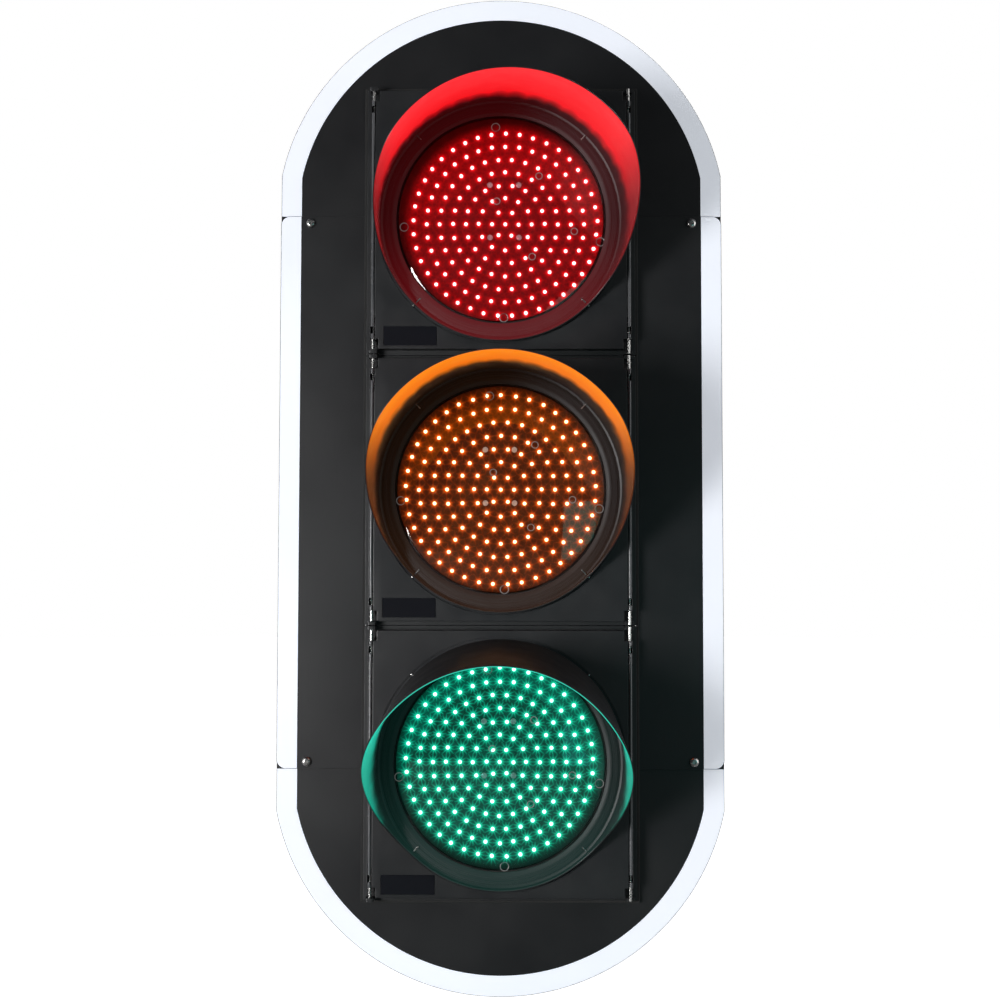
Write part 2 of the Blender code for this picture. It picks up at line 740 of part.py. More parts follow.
def build_joins():
    """The couplers between the casings, the plug on top and the terminals inside."""
    above = CASING_WALL + GAP
    for lower, upper in zip(range(len(ASPECTS)), range(1, len(ASPECTS))):
        names = f"{ASPECTS[lower]}_{ASPECTS[upper]}"
        height = upper * PITCH - GAP / 2
        tube = place(coupler(), "zinc_plate", (0, 0, height))
        tube.name = f"section_coupler_{names}"
        over = place(locknut(above + GAP), "zinc_plate", (0, 0, height), smooth=False)
        over.name = f"coupler_locknut_{names}_upper"
        under = place(locknut(-above - GAP - NUT_THICKNESS), "zinc_plate", (0, 0, height), smooth=False)
        under.name = f"coupler_locknut_{names}_lower"
    cap = place(entry_cap(), "casing_plastic", (0, 0, STACK_HEIGHT))
    cap.name = "entry_cap_top"
    terminals = place(terminal_block(), "terminal_plastic", (0, 0, TERMINAL_Z), smooth=False)
    terminals.name = "terminal_block"


def main():
    for old in list(bpy.data.objects):
        bpy.data.objects.remove(old)
    shapes = {
        "casing": casing_shell(),
        "door": door_leaf(),
        "door_seal": door_seal(),
        "lens": lens_dome(),
        "lens_gasket": lens_gasket(),
        "module_case": module_case(),
        "led_board": led_board(),
        "hinge_pin_top": hinge_pin(1),
        "hinge_pin_bottom": hinge_pin(-1),
        "latch_pin_top": latch_pin(1),
        "latch_pin_bottom": latch_pin(-1),
    }
    for index, aspect in enumerate(ASPECTS):
        build_section(index, aspect, shapes)
    for pattern in shapes.values():
        bpy.data.objects.remove(pattern)
    build_board()
    build_joins()


main()
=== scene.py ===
"""Three-aspect traffic signal head with a pill-shaped backing board: the visual model.

Laid out as a Blender add-on and run as a script. Every length is in metres. The head faces -Y,
+Z is up, and +X is to the right seen from the front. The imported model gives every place.
"""

import math
import random

import bmesh
import bpy
from bpy.props import FloatProperty, FloatVectorProperty, IntProperty, PointerProperty
from mathutils import Matrix, Vector


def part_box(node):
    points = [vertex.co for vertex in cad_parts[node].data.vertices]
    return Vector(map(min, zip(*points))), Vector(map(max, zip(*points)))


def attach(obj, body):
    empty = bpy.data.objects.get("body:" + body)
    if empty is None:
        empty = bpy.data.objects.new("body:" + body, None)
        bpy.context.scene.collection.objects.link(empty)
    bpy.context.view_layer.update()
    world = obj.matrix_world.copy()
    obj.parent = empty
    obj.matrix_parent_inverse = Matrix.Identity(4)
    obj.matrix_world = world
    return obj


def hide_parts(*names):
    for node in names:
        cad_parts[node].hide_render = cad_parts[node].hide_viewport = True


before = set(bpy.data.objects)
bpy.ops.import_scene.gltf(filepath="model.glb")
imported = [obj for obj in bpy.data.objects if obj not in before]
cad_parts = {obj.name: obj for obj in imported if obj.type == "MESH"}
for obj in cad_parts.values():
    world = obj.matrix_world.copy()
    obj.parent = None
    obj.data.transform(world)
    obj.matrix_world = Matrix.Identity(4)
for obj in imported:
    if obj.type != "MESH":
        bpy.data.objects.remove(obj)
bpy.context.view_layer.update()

bl_info = {
    "name": "Traffic Signal Head",
    "version": (1, 0, 0),
    "blender": (4, 5, 0),
    "location": "3D View > Sidebar > Signal Head",
    "description": "Builds the visual model of a three-aspect traffic signal head",
    "category": "Object",
}

ASPECTS = ("green", "amber", "red")
ENDS = (("top", 1), ("bottom", -1))
SIDES = (("left", -1), ("right", 1))
GAP = 0.0003


def low_corner(node):
    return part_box(node)[0]


def high_corner(node):
    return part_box(node)[1]


def middle(node):
    low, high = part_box(node)
    return (low + high) / 2


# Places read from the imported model
LENS_Z = {aspect: middle(f"door_{aspect}").z for aspect in ASPECTS}
DOOR_HALF = high_corner("door_red").x
DOOR_FRONT = low_corner("door_red").y
DOOR_BACK = high_corner("door_red").y
CASING_HALF = high_corner("casing_red").x
CASING_BACK = high_corner("casing_red").y
CASING_FRONT = high_corner("door_seal_red").y + GAP
CASING_HEIGHT = high_corner("casing_green").z - low_corner("casing_green").z
PIN_X = middle("latch_pin_red_top").x
PIN_Y = high_corner("hinge_pin_red_top").y - 0.002
LAMP_BOARD_RADIUS = high_corner("led_board_red").x
CASING_TOP = high_corner("casing_red").z
BOARD_Z = middle("board_left").z
BOARD_HALF = high_corner("board_right").x
BOARD_END_Z = high_corner("board_top").z - BOARD_Z
END_FRONT = low_corner("board_top").y
END_BACK = high_corner("board_top").y
STRIP_FRONT = low_corner("board_left").y
STRIP_BACK = high_corner("board_left").y
STRIP_HALF = high_corner("board_left").z - BOARD_Z
STRIP_INNER = low_corner("board_right").x
SCREW_X = middle("board_screw_top_right").x
SCREW_Z = middle("board_screw_top_right").z - BOARD_Z

# Shapes of the moulded pieces
CASING_WALL = 0.0035
CASING_CORNER = 0.040
MOUTH_HALF = 0.154
ENTRY_RADIUS = 0.026
DOOR_SHEET = 0.0035
DOOR_RIM = 0.012
DOOR_BLOCK = 0.044
APERTURE_RADIUS = 0.152
COLLAR_RADIUS = 0.155
SEAT_RADIUS = 0.161
SEAT_DEPTH = 0.0015
PLATE_HALF = (0.0343, 0.0126)
PLATE_CENTRE = (-0.117, -0.152)
NOTCH_WIDTH = 0.011
NOTCH_HEIGHT = 0.013
CHANNEL_HALF = 0.0028
CHANNEL_DEPTH = 0.043
WINDOW_SPAN = (0.020, 0.029)
VISOR_LENGTH = 0.200
VISOR_BASE = 0.158
VISOR_FLARE = 0.008
VISOR_WALL = 0.0025
VISOR_LIP = 0.1358
STUD_RADIUS = 0.1597
VISOR_DROOP = {"green": 8.7, "amber": 4.0, "red": 9.0}
VISOR_LEAN = {"green": -1.3, "amber": 0.0, "red": 3.0}
# Share of the full length, by degrees away from the top
VISOR_REACH = (
    (0, 1.0),
    (60, 1.0),
    (76, 0.80),
    (93, 0.50),
    (106, 0.30),
    (123, 0.10),
    (137, 0.045),
    (180, 0.045),
)
CLIP_TURNS = (45, 135, 225, 315)
LENS_RIM = 0.1353
LENS_RADIUS = 0.149
BOARD_ARC_CENTRE = 0.354
BOARD_INNER_HEIGHT = 0.527
BOARD_LEG_END = 0.339
BORDER_WIDTH = 0.0265

# Diodes
DIODE_OFFSET = {"green": (-0.0009, 0.0008), "amber": (0.0001, 0.0002), "red": (0.0055, -0.0028)}
DIODE_PITCH = {"green": 0.0171, "amber": 0.0175, "red": 0.0171}
FULL_RINGS = 6
OUTER_RING_COUNT = 41
OUTER_RING_TURN = math.radians(2.0)
MODULE_SCREWS = ((-0.0201, 0.0517), (0.0174, 0.0517), (-0.0198, -0.0174), (0.0178, -0.0174))
MOULD_RINGS = (
    (-0.0104, 0.1199, 0.0053),
    (-0.1286, -0.0108, 0.0053),
    (0.1252, -0.0297, 0.0053),
    (0.0004, -0.1288, 0.0053),
    (0.0457, 0.0544, 0.0042),
    (-0.0088, 0.0207, 0.0042),
    (0.0912, -0.0172, 0.0042),
    (0.0368, -0.0509, 0.0042),
)
MODULE_TURN = {"green": 2.5, "amber": 2.0, "red": 0.0}
LENS_ROLL = 0.0008

# How strongly the painted glow on the plate behind a lens shines, between, round and along the rays of its
# diodes
GROUND_GLOW = {"red": 0.13, "amber": 0.036, "green": 0.050}
HALO_GLOW = {"red": 1.5, "amber": 1.2, "green": 0.75}
RAY_GLOW = {"red": 0.45, "amber": 0.70, "green": 2.2}
RAYS_ROUND = {"red": 3.0, "amber": 4.0, "green": 6.0}
DIODE_CORE = {"red": (6.0, 6.5, 6.5), "amber": (6.0, 5.0, 3.4), "green": (6.0, 5.0, 5.0)}
SCREW_GLOW = {"red": (0.22, 0.42, 0.42), "amber": (0.26, 0.30, 0.42), "green": (0.14, 0.10, 0.11)}

# The painted light in a visor: where it starts, how much of it falls on the sides and how far it starts
# later there
HOOD_LINE = {"red": (0.046, 0.17, 0.0), "amber": (0.090, 0.10, 0.050), "green": (0.050, 0.70, 0.0)}
# Colours of the painted glow in a visor: near the lamp, far out, and where the lamp light does not reach.
HOOD_NEAR = {"red": (0.93, 0.0, 0.004), "amber": (0.70, 0.105, 0.0), "green": (0.0, 0.42, 0.28)}
HOOD_FAR = {"red": (1.0, 0.024, 0.032), "amber": (1.0, 0.235, 0.002), "green": (0.02, 0.62, 0.44)}
HOOD_DARK = {"red": (0.052, 0.0012, 0.002), "amber": (0.010, 0.0035, 0.001), "green": (0.002, 0.010, 0.008)}


# ---------------------------------------------------------------- settings


def colour_setting(name, description, default):
    return FloatVectorProperty(
        name=name, description=description, default=default, size=3, min=0.0, max=1.0, subtype="COLOR"
    )


class SignalSizes(bpy.types.PropertyGroup):
    """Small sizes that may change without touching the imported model."""

    eased_edge: FloatProperty(
        name="Eased edge",
        description="How far the edges of moulded pieces are rounded off",
        default=0.0006,
        min=0.0001,
        unit="LENGTH",
    )
    sheet_edge: FloatProperty(
        name="Sheet edge",
        description="How far the edges of sheet metal pieces are rounded off",
        default=0.0003,
        min=0.0001,
        unit="LENGTH",
    )
    diode_radius: FloatProperty(
        name="Diode radius",
        description="Radius of one light-emitting diode",
        default=0.0024,
        min=0.001,
        unit="LENGTH",
    )
    film_margin: FloatProperty(
        name="Film margin",
        description="Bare strip between the white film and the edge of the board",
        default=0.0007,
        min=0.0,
        unit="LENGTH",
    )
    ring_teeth: IntProperty(
        name="Ring teeth", description="Teeth on each serrated bracket ring", default=72, min=12, max=144
    )
    hood_steps: IntProperty(
        name="Visor steps", description="Steps round each visor", default=144, min=36, max=360
    )


class SignalColours(bpy.types.PropertyGroup):
    """Colours of the finishes, in linear light."""

    shell: colour_setting("Shell", "Moulded plastic of casings, doors and visors", (0.0085, 0.0090, 0.0102))
    board: colour_setting("Board", "Powder coat of the backing board", (0.0058, 0.0060, 0.0072))
    film: colour_setting("Film", "White reflective film", (0.72, 0.745, 0.81))
    rubber: colour_setting("Rubber", "Seals and gaskets", (0.012, 0.012, 0.012))
    steel: colour_setting("Steel", "Stainless screws and pins", (0.62, 0.61, 0.59))
    zinc: colour_setting("Zinc", "Zinc plated brackets and nuts", (0.55, 0.56, 0.58))
    cream: colour_setting("Terminal plastic", "Moulded cream plastic of the terminals", (0.60, 0.58, 0.52))
    red_tint: colour_setting("Red lens", "Tint of the red lens", (0.90, 0.30, 0.32))
    amber_tint: colour_setting("Amber lens", "Tint of the amber lens", (0.92, 0.62, 0.40))
    green_tint: colour_setting("Green lens", "Tint of the green lens", (0.40, 0.90, 0.80))
    red_light: colour_setting("Red light", "Light of the red module", (1.0, 0.0012, 0.010))
    amber_light: colour_setting("Amber light", "Light of the amber module", (1.0, 0.160, 0.002))
    green_light: colour_setting("Green light", "Light of the green module", (0.002, 0.62, 0.40))


class SignalStage(bpy.types.PropertyGroup):
    """Settings of the floor and the camera."""

    floor_drop: FloatProperty(
        name="Floor drop",
        description="Gap between the board and the floor",
        default=0.004,
        min=0.0,
        unit="LENGTH",
    )
    camera_lens: FloatProperty(
        name="Focal length",
        description="Focal length of the camera in millimetres",
        default=56.013,
        min=10.0,
    )
    camera_place: FloatVectorProperty(
        name="Camera",
        description="Where the camera stands",
        default=(0.0066, -2.060, 0.4025),
        size=3,
        subtype="XYZ",
    )
    camera_turn: FloatVectorProperty(
        name="Camera turn",
        description="Pitch, roll and yaw of the camera in degrees",
        default=(3.110, -0.082, 0.213),
        size=3,
    )


def sizes():
    return bpy.context.scene.signal_sizes


def colours():
    return bpy.context.scene.signal_colours


# ---------------------------------------------------------------- shader tools


class Graph:
    """Adds nodes to a material or a group and links them."""

    def __init__(self, tree):
        self.tree = tree

    def node(self, kind, values=None, **settings):
        made = self.tree.nodes.new(kind)
        for key, value in settings.items():
            setattr(made, key, value)
        for key, value in (values or {}).items():
            self.feed(made.inputs[key], value)
        return made

    def feed(self, socket, value):
        if isinstance(value, bpy.types.NodeSocket):
            self.tree.links.new(value, socket)
        else:
            socket.default_value = value

    def math(self, operation, a, b=0.0, c=0.0, clamp=False):
        made = self.node("ShaderNodeMath", {0: a, 1: b, 2: c}, operation=operation, use_clamp=clamp)
        return made.outputs[0]

    def times(self, a, b, clamp=False):
        return self.math("MULTIPLY", a, b, clamp=clamp)

    def plus(self, a, b, clamp=False):
        return self.math("ADD", a, b, clamp=clamp)

    def minus(self, a, b):
        return self.math("SUBTRACT", a, b)

    def over(self, a, b):
        return self.math("DIVIDE", a, b)

    def smooth(self, value, low, high):
        """0 below low, 1 above high, with a soft change between them."""
        ends = {"Value": value, "From Min": low, "From Max": high}
        made = self.node("ShaderNodeMapRange", ends, interpolation_type="SMOOTHSTEP")
        return made.outputs["Result"]

    def ramp(self, value, low, high, to_low, to_high):
        made = self.node(
            "ShaderNodeMapRange",
            {"Value": value, "From Min": low, "From Max": high, "To Min": to_low, "To Max": to_high},
        )
        return made.outputs["Result"]

    def blend(self, factor, a, b, mode="MIX"):
        made = self.node("ShaderNodeMix", {0: factor, 6: a, 7: b}, data_type="RGBA", blend_type=mode)
        return made.outputs[2]

    def noise(self, vector, scale, detail=4.0, roughness=0.5):
        settings = {"Vector": vector, "Scale": scale, "Detail": detail, "Roughness": roughness}
        return self.node("ShaderNodeTexNoise", settings).outputs[0]

    def cells(self, vector, scale, randomness=1.0):
        """How far a point lies from the wall of its cell."""
        made = self.node(
            "ShaderNodeTexVoronoi",
            {"Vector": vector, "Scale": scale, "Randomness": randomness},
            feature="DISTANCE_TO_EDGE",
        )
        return made.outputs["Distance"]

    def scaled(self, colour, factor):
        return self.node("ShaderNodeVectorMath", {0: colour, "Scale": factor}, operation="SCALE").outputs[0]

    def rest_place(self):
        """Where a point lies on the piece at rest."""
        return self.node("ShaderNodeTexCoord").outputs["Object"]


def new_group(name, inputs, outputs):
    """A node group with named sockets. Returns its graph, its input node and its output node."""
    tree = bpy.data.node_groups.new(name, "ShaderNodeTree")
    for label, kind, default in inputs:
        socket = tree.interface.new_socket(name=label, in_out="INPUT", socket_type=kind)
        socket.default_value = default
    for label, kind in outputs:
        tree.interface.new_socket(name=label, in_out="OUTPUT", socket_type=kind)
    graph = Graph(tree)
    return graph, graph.node("NodeGroupInput").outputs, graph.node("NodeGroupOutput").inputs


FLOAT = "NodeSocketFloat"


def make_moulded_grain():
    """Fine spark-eroded grain with a slow change of shade."""
    graph, given, out = new_group(
        "Moulded grain",
        [("Scale", FLOAT, 1500.0), ("Depth", FLOAT, 1.0)],
        [("Height", FLOAT), ("Shade", FLOAT)],
    )
    place = graph.rest_place()
    grain = graph.noise(place, given["Scale"], 3.0, 0.6)
    ripple = graph.noise(place, graph.times(given["Scale"], 0.012), 3.0, 0.5)
    height = graph.plus(grain, graph.times(ripple, 1.5))
    graph.feed(out["Height"], graph.times(height, given["Depth"]))
    shade = graph.noise(place, graph.times(given["Scale"], 0.004), 4.0, 0.55)
    graph.feed(out["Shade"], shade)


def make_rubbed_edges():
    """A mask of the outer edges, broken up where hands and tools have rubbed them."""
    graph, given, out = new_group(
        "Rubbed edges",
        [("Width", FLOAT, 0.0015), ("Amount", FLOAT, 1.0), ("Breaks", FLOAT, 60.0)],
        [("Mask", FLOAT)],
    )
    rounded = graph.node("ShaderNodeBevel", {"Radius": given["Width"]}, samples=2).outputs[0]
    flat = graph.node("ShaderNodeNewGeometry").outputs["Normal"]
    along = graph.node("ShaderNodeVectorMath", {0: rounded, 1: flat}, operation="DOT_PRODUCT").outputs
    edge = graph.smooth(graph.minus(1.0, along["Value"]), 0.02, 0.25)
    broken = graph.smooth(graph.noise(graph.rest_place(), given["Breaks"], 6.0, 0.65), 0.42, 0.62)
    mask = graph.times(edge, broken)
    graph.feed(out["Mask"], graph.times(mask, given["Amount"], clamp=True))


def make_settled_dust():
    """A mask of dust: thicker on faces that look up, in soft patches and fine specks."""
    graph, given, out = new_group(
        "Settled dust", [("Amount", FLOAT, 0.3), ("Patch Scale", FLOAT, 18.0)], [("Mask", FLOAT)]
    )
    place = graph.rest_place()
    normal = graph.node("ShaderNodeNewGeometry").outputs["Normal"]
    up = graph.node("ShaderNodeSeparateXYZ", {0: normal}).outputs["Z"]
    lying = graph.ramp(up, -0.2, 1.0, 0.25, 1.0)
    patch = graph.smooth(graph.noise(place, given["Patch Scale"], 6.0, 0.6), 0.35, 0.75)
    specks = graph.smooth(graph.noise(place, 900.0, 2.0, 0.5), 0.66, 0.74)
    cover = graph.plus(graph.times(patch, 0.6), graph.times(specks, 0.5))
    mask = graph.times(graph.times(cover, lying), given["Amount"], clamp=True)
    graph.feed(out["Mask"], mask)


def make_handling_marks():
    """Roughness that wanders between two values, with faint smears and hairline scratches."""
    graph, given, out = new_group(
        "Handling marks",
        [("Low", FLOAT, 0.3), ("High", FLOAT, 0.5), ("Smear Scale", FLOAT, 25.0), ("Scratches", FLOAT, 0.1)],
        [("Roughness", FLOAT), ("Scratch", FLOAT)],
    )
    place = graph.rest_place()
    smear = graph.noise(place, given["Smear Scale"], 5.0, 0.6)
    level = graph.ramp(smear, 0.3, 0.7, given["Low"], given["High"])
    drawn_out = {0: place, "Rotation": (0.4, 0.9, 0.2), "Scale": (900.0, 900.0, 14.0)}
    stretched = graph.node("ShaderNodeMapping", drawn_out)
    hair = graph.smooth(graph.noise(stretched.outputs[0], 1.0, 1.0, 0.4), 0.70, 0.74)
    gate = graph.smooth(graph.noise(place, 9.0, 2.0, 0.5), 0.52, 0.60)
    scratch = graph.times(graph.times(hair, gate), given["Scratches"])
    graph.feed(out["Scratch"], scratch)
    graph.feed(out["Roughness"], graph.plus(level, scratch, clamp=True))


def make_diode_field():
    """The light thrown by rings of diodes on the plate round them, painted on it as glow: a core, a halo and
    fine rays.
    """
    graph, given, out = new_group(
        "Diode field",
        [("Side", FLOAT, 0.0), ("Height", FLOAT, 0.0), ("Pitch", FLOAT, 0.0171), ("Ray Count", FLOAT, 5.0)],
        [("Halo", FLOAT), ("Rays", FLOAT), ("Field", FLOAT)],
    )
    split = graph.node("ShaderNodeSeparateXYZ", {0: graph.rest_place()}).outputs
    x = graph.minus(split["X"], given["Side"])
    z = graph.minus(split["Z"], given["Height"])
    radius = graph.math("SQRT", graph.plus(graph.times(x, x), graph.times(z, z)))
    ring = graph.math("MINIMUM", graph.math("ROUND", graph.over(radius, given["Pitch"])), 7.0)
    outer = graph.math("GREATER_THAN", ring, 6.5)
    full = graph.math("MAXIMUM", graph.times(ring, 6.0), 1.0)
    count = graph.plus(full, graph.times(outer, OUTER_RING_COUNT - 42.0))
    step = graph.over(math.tau, count)
    turn = graph.minus(graph.math("ARCTAN2", z, x), graph.times(outer, OUTER_RING_TURN))
    nearest = graph.times(graph.math("ROUND", graph.over(turn, step)), step)
    angle = graph.plus(nearest, graph.times(outer, OUTER_RING_TURN))
    reach = graph.times(ring, given["Pitch"])
    from_x = graph.minus(x, graph.times(reach, graph.math("COSINE", angle)))
    from_z = graph.minus(z, graph.times(reach, graph.math("SINE", angle)))
    squares = graph.plus(graph.times(from_x, from_x), graph.times(from_z, from_z))
    distance = graph.math("SQRT", squares)
    share = graph.over(distance, given["Pitch"])
    halo = graph.math("EXPONENT", graph.times(graph.math("POWER", share, 2.0), -22.0))
    away = graph.minus(graph.math("ARCTAN2", from_z, from_x), angle)
    around = graph.math("ABSOLUTE", graph.math("SINE", graph.times(away, given["Ray Count"])))
    aside = graph.over(graph.times(around, share), given["Ray Count"])
    narrow = graph.math("POWER", graph.over(aside, 0.042), 2.0)
    spokes = graph.math("EXPONENT", graph.times(narrow, -1.0))
    fade = graph.math("EXPONENT", graph.times(share, -3.6))
    rays = graph.times(spokes, fade)
    graph.feed(out["Halo"], halo)
    graph.feed(out["Rays"], rays)
    dark_from = graph.times(given["Pitch"], 7.9)
    lit_to = graph.times(given["Pitch"], 7.2)
    graph.feed(out["Field"], graph.smooth(radius, dark_from, lit_to))


def make_hood_light():
    """Where the painted light of the diodes falls on the inside of a visor: bright beyond a scalloped line,
    less at its sides.
    """
    graph, given, out = new_group(
        "Hood light",
        [
            ("Start", FLOAT, 0.045),
            ("Softness", FLOAT, 0.014),
            ("Scallop", FLOAT, 0.006),
            ("Side Light", FLOAT, 0.4),
            ("Side Shift", FLOAT, 0.0),
        ],
        [("Mask", FLOAT), ("Depth", FLOAT), ("Dim", FLOAT)],
    )
    turn = graph.node("ShaderNodeAttribute", attribute_name="turn").outputs["Fac"]
    rise = graph.node("ShaderNodeAttribute", attribute_name="rise").outputs["Fac"]
    reach = graph.node("ShaderNodeAttribute", attribute_name="reach").outputs["Fac"]
    inside = graph.node("ShaderNodeAttribute", attribute_name="inside").outputs["Fac"]
    teeth = graph.math("ABSOLUTE", graph.math("SINE", graph.times(turn, OUTER_RING_COUNT / 2.0)))
    uneven = graph.noise(graph.rest_place(), 22.0, 2.0, 0.5)
    line = graph.minus(reach, graph.times(teeth, given["Scallop"]))
    line = graph.minus(line, graph.times(graph.minus(uneven, 0.5), 0.030))
    sideways = graph.minus(1.0, graph.smooth(rise, -0.05, 0.55))
    line = graph.math("MULTIPLY_ADD", sideways, given["Side Shift"], line)
    high = graph.plus(given["Start"], given["Softness"])
    low = graph.minus(given["Start"], given["Softness"])
    lit = graph.smooth(line, low, high)
    level = graph.ramp(graph.smooth(rise, 0.02, 0.66), 0.0, 1.0, given["Side Light"], 1.0)
    inner = graph.smooth(inside, 0.4, 0.6)
    graph.feed(out["Mask"], graph.times(graph.times(lit, level), inner))
    graph.feed(out["Depth"], graph.ramp(reach, 0.05, VISOR_LENGTH, 0.0, 1.0))
    low_glow = graph.ramp(graph.smooth(rise, 0.1, -0.9), 0.0, 1.0, 0.55, 1.9)
    evened = graph.math("MULTIPLY_ADD", lit, graph.minus(1.0, low_glow), low_glow)
    graph.feed(out["Dim"], graph.times(inner, evened))


def make_brushed_lines():
    """Fine drawn lines on steel and zinc."""
    graph, given, out = new_group(
        "Brushed lines", [("Scale", FLOAT, 400.0)], [("Height", FLOAT), ("Tone", FLOAT)]
    )
    place = graph.rest_place()
    drawn = graph.node("ShaderNodeMapping", {0: place, "Scale": (1.0, 1.0, 12.0)}).outputs[0]
    lines = graph.noise(drawn, given["Scale"], 3.0, 0.6)
    graph.feed(out["Height"], lines)
    graph.feed(out["Tone"], graph.noise(place, 120.0, 4.0, 0.6))


def use_group(graph, name, **values):
    """Places a shared group in a material and sets its named inputs."""
    made = graph.node("ShaderNodeGroup", node_tree=bpy.data.node_groups[name])
    for key, value in values.items():
        graph.feed(made.inputs[key.replace("_", " ")], value)
    return made.outputs


def new_finish(name):
    """An empty material with its shader. Returns the material, its graph and the shader's inputs."""
    material = bpy.data.materials.new(name)
    material.use_nodes = True
    shader = material.node_tree.nodes["Principled BSDF"]
    return material, Graph(material.node_tree), shader.inputs


def raise_surface(graph, shader, height, strength, distance):
    """Gives the shader its fine relief."""
    bump = graph.node("ShaderNodeBump", {"Strength": strength, "Distance": distance, "Height": height})
    graph.feed(shader["Normal"], bump.outputs[0])


def rgba(colour, factor=1.0):
    return tuple(channel * factor for channel in colour) + (1.0,)


def grey(level):
    return (level, level, level, 1.0)


def moulded_finish(name, colour, rough, grain_depth=0.25, wear=0.35, dust=0.2, lighter=2.2):
    """Satin moulded plastic with grain, rubbed edges, dust and smears."""
    material, graph, shader = new_finish(name)
    grain = use_group(graph, "Moulded grain", Scale=1500.0, Depth=1.0)
    marks = use_group(
        graph, "Handling marks", Low=rough - 0.05, High=rough + 0.06, Smear_Scale=22.0, Scratches=0.12
    )
    edges = use_group(graph, "Rubbed edges", Width=0.0012, Amount=wear, Breaks=70.0)
    settled = use_group(graph, "Settled dust", Amount=dust, Patch_Scale=16.0)
    base = graph.blend(grain["Shade"], rgba(colour, 0.72), rgba(colour, 1.35))
    base = graph.blend(edges["Mask"], base, rgba(colour, lighter + 1.5))
    base = graph.blend(settled["Mask"], base, (0.10, 0.098, 0.092, 1.0))
    graph.feed(shader["Base Color"], base)
    dusty = graph.math("MULTIPLY_ADD", settled["Mask"], 0.25, marks["Roughness"])
    graph.feed(shader["Roughness"], graph.minus(dusty, graph.times(edges["Mask"], 0.08)))
    raise_surface(graph, shader, grain["Height"], grain_depth, 0.00012)
    return material


def board_finish(name):
    """Satin black powder coat on sheet: orange peel, faint specks of dust and rubbed edges."""
    material, graph, shader = new_finish(name)
    colour = colours().board
    grain = use_group(graph, "Moulded grain", Scale=650.0, Depth=1.0)
    marks = use_group(graph, "Handling marks", Low=0.34, High=0.44, Smear_Scale=8.0, Scratches=0.18)
    edges = use_group(graph, "Rubbed edges", Width=0.0008, Amount=0.5, Breaks=50.0)
    settled = use_group(graph, "Settled dust", Amount=0.16, Patch_Scale=7.0)
    base = graph.blend(grain["Shade"], rgba(colour, 0.8), rgba(colour, 1.25))
    base = graph.blend(edges["Mask"], base, (0.16, 0.16, 0.165, 1.0))
    base = graph.blend(settled["Mask"], base, (0.11, 0.108, 0.10, 1.0))
    graph.feed(shader["Base Color"], base)
    graph.feed(shader["Roughness"], graph.math("MULTIPLY_ADD", settled["Mask"], 0.3, marks["Roughness"]))
    raise_surface(graph, shader, grain["Height"], 0.22, 0.0002)
    return material


def film_finish(name):
    """White reflective film: a fine cell pattern under a clear top layer, a little soiled, and a painted
    glow in its own colour that brightens it.
    """
    material, graph, shader = new_finish(name)
    colour = colours().film
    place = graph.rest_place()
    wall = graph.smooth(graph.cells(place, 330.0, 0.15), 0.10, 0.02)
    slow = graph.noise(place, 7.0, 4.0, 0.5)
    settled = use_group(graph, "Settled dust", Amount=0.22, Patch_Scale=10.0)
    marks = use_group(graph, "Handling marks", Low=0.26, High=0.38, Smear_Scale=12.0, Scratches=0.2)
    base = graph.blend(slow, rgba(colour, 0.95), rgba(colour, 1.04))
    base = graph.blend(graph.times(wall, 0.35), base, rgba(colour, 0.80))
    base = graph.blend(settled["Mask"], base, (0.60, 0.59, 0.56, 1.0))
    graph.feed(shader["Base Color"], base)
    graph.feed(shader["Roughness"], marks["Roughness"])
    shader["Coat Weight"].default_value = 0.2
    shader["Coat Roughness"].default_value = 0.12
    raise_surface(graph, shader, wall, 0.10, 0.0001)
    # Painted light: the film glows in its own colour, standing in for the light that falls on it.
    graph.feed(shader["Emission Color"], base)
    shader["Emission Strength"].default_value = 0.52
    return material


def metal_finish(name, colour, low, high, spots=0.25):
    """Plated or stainless metal with drawn lines, tone changes and a little grime."""
    material, graph, shader = new_finish(name)
    lines = use_group(graph, "Brushed lines", Scale=420.0)
    marks = use_group(graph, "Handling marks", Low=low, High=high, Smear_Scale=90.0, Scratches=0.2)
    settled = use_group(graph, "Settled dust", Amount=spots, Patch_Scale=120.0)
    base = graph.blend(lines["Tone"], rgba(colour, 0.70), rgba(colour, 1.18))
    base = graph.blend(settled["Mask"], base, (0.10, 0.09, 0.08, 1.0))
    graph.feed(shader["Base Color"], base)
    shader["Metallic"].default_value = 1.0
    graph.feed(shader["Roughness"], marks["Roughness"])
    raise_surface(graph, shader, lines["Height"], 0.12, 0.0001)
    return material


def rubber_finish(name):
    """Matt black rubber and closed-cell foam."""
    material, graph, shader = new_finish(name)
    colour = colours().rubber
    place = graph.rest_place()
    pores = graph.noise(place, 1800.0, 2.0, 0.5)
    settled = use_group(graph, "Settled dust", Amount=0.35, Patch_Scale=30.0)
    base = graph.blend(graph.noise(place, 40.0), rgba(colour, 0.7), rgba(colour, 1.4))
    base = graph.blend(settled["Mask"], base, (0.09, 0.088, 0.082, 1.0))
    graph.feed(shader["Base Color"], base)
    graph.feed(shader["Roughness"], graph.ramp(pores, 0.3, 0.7, 0.72, 0.92))
    raise_surface(graph, shader, pores, 0.35, 0.0002)
    return material


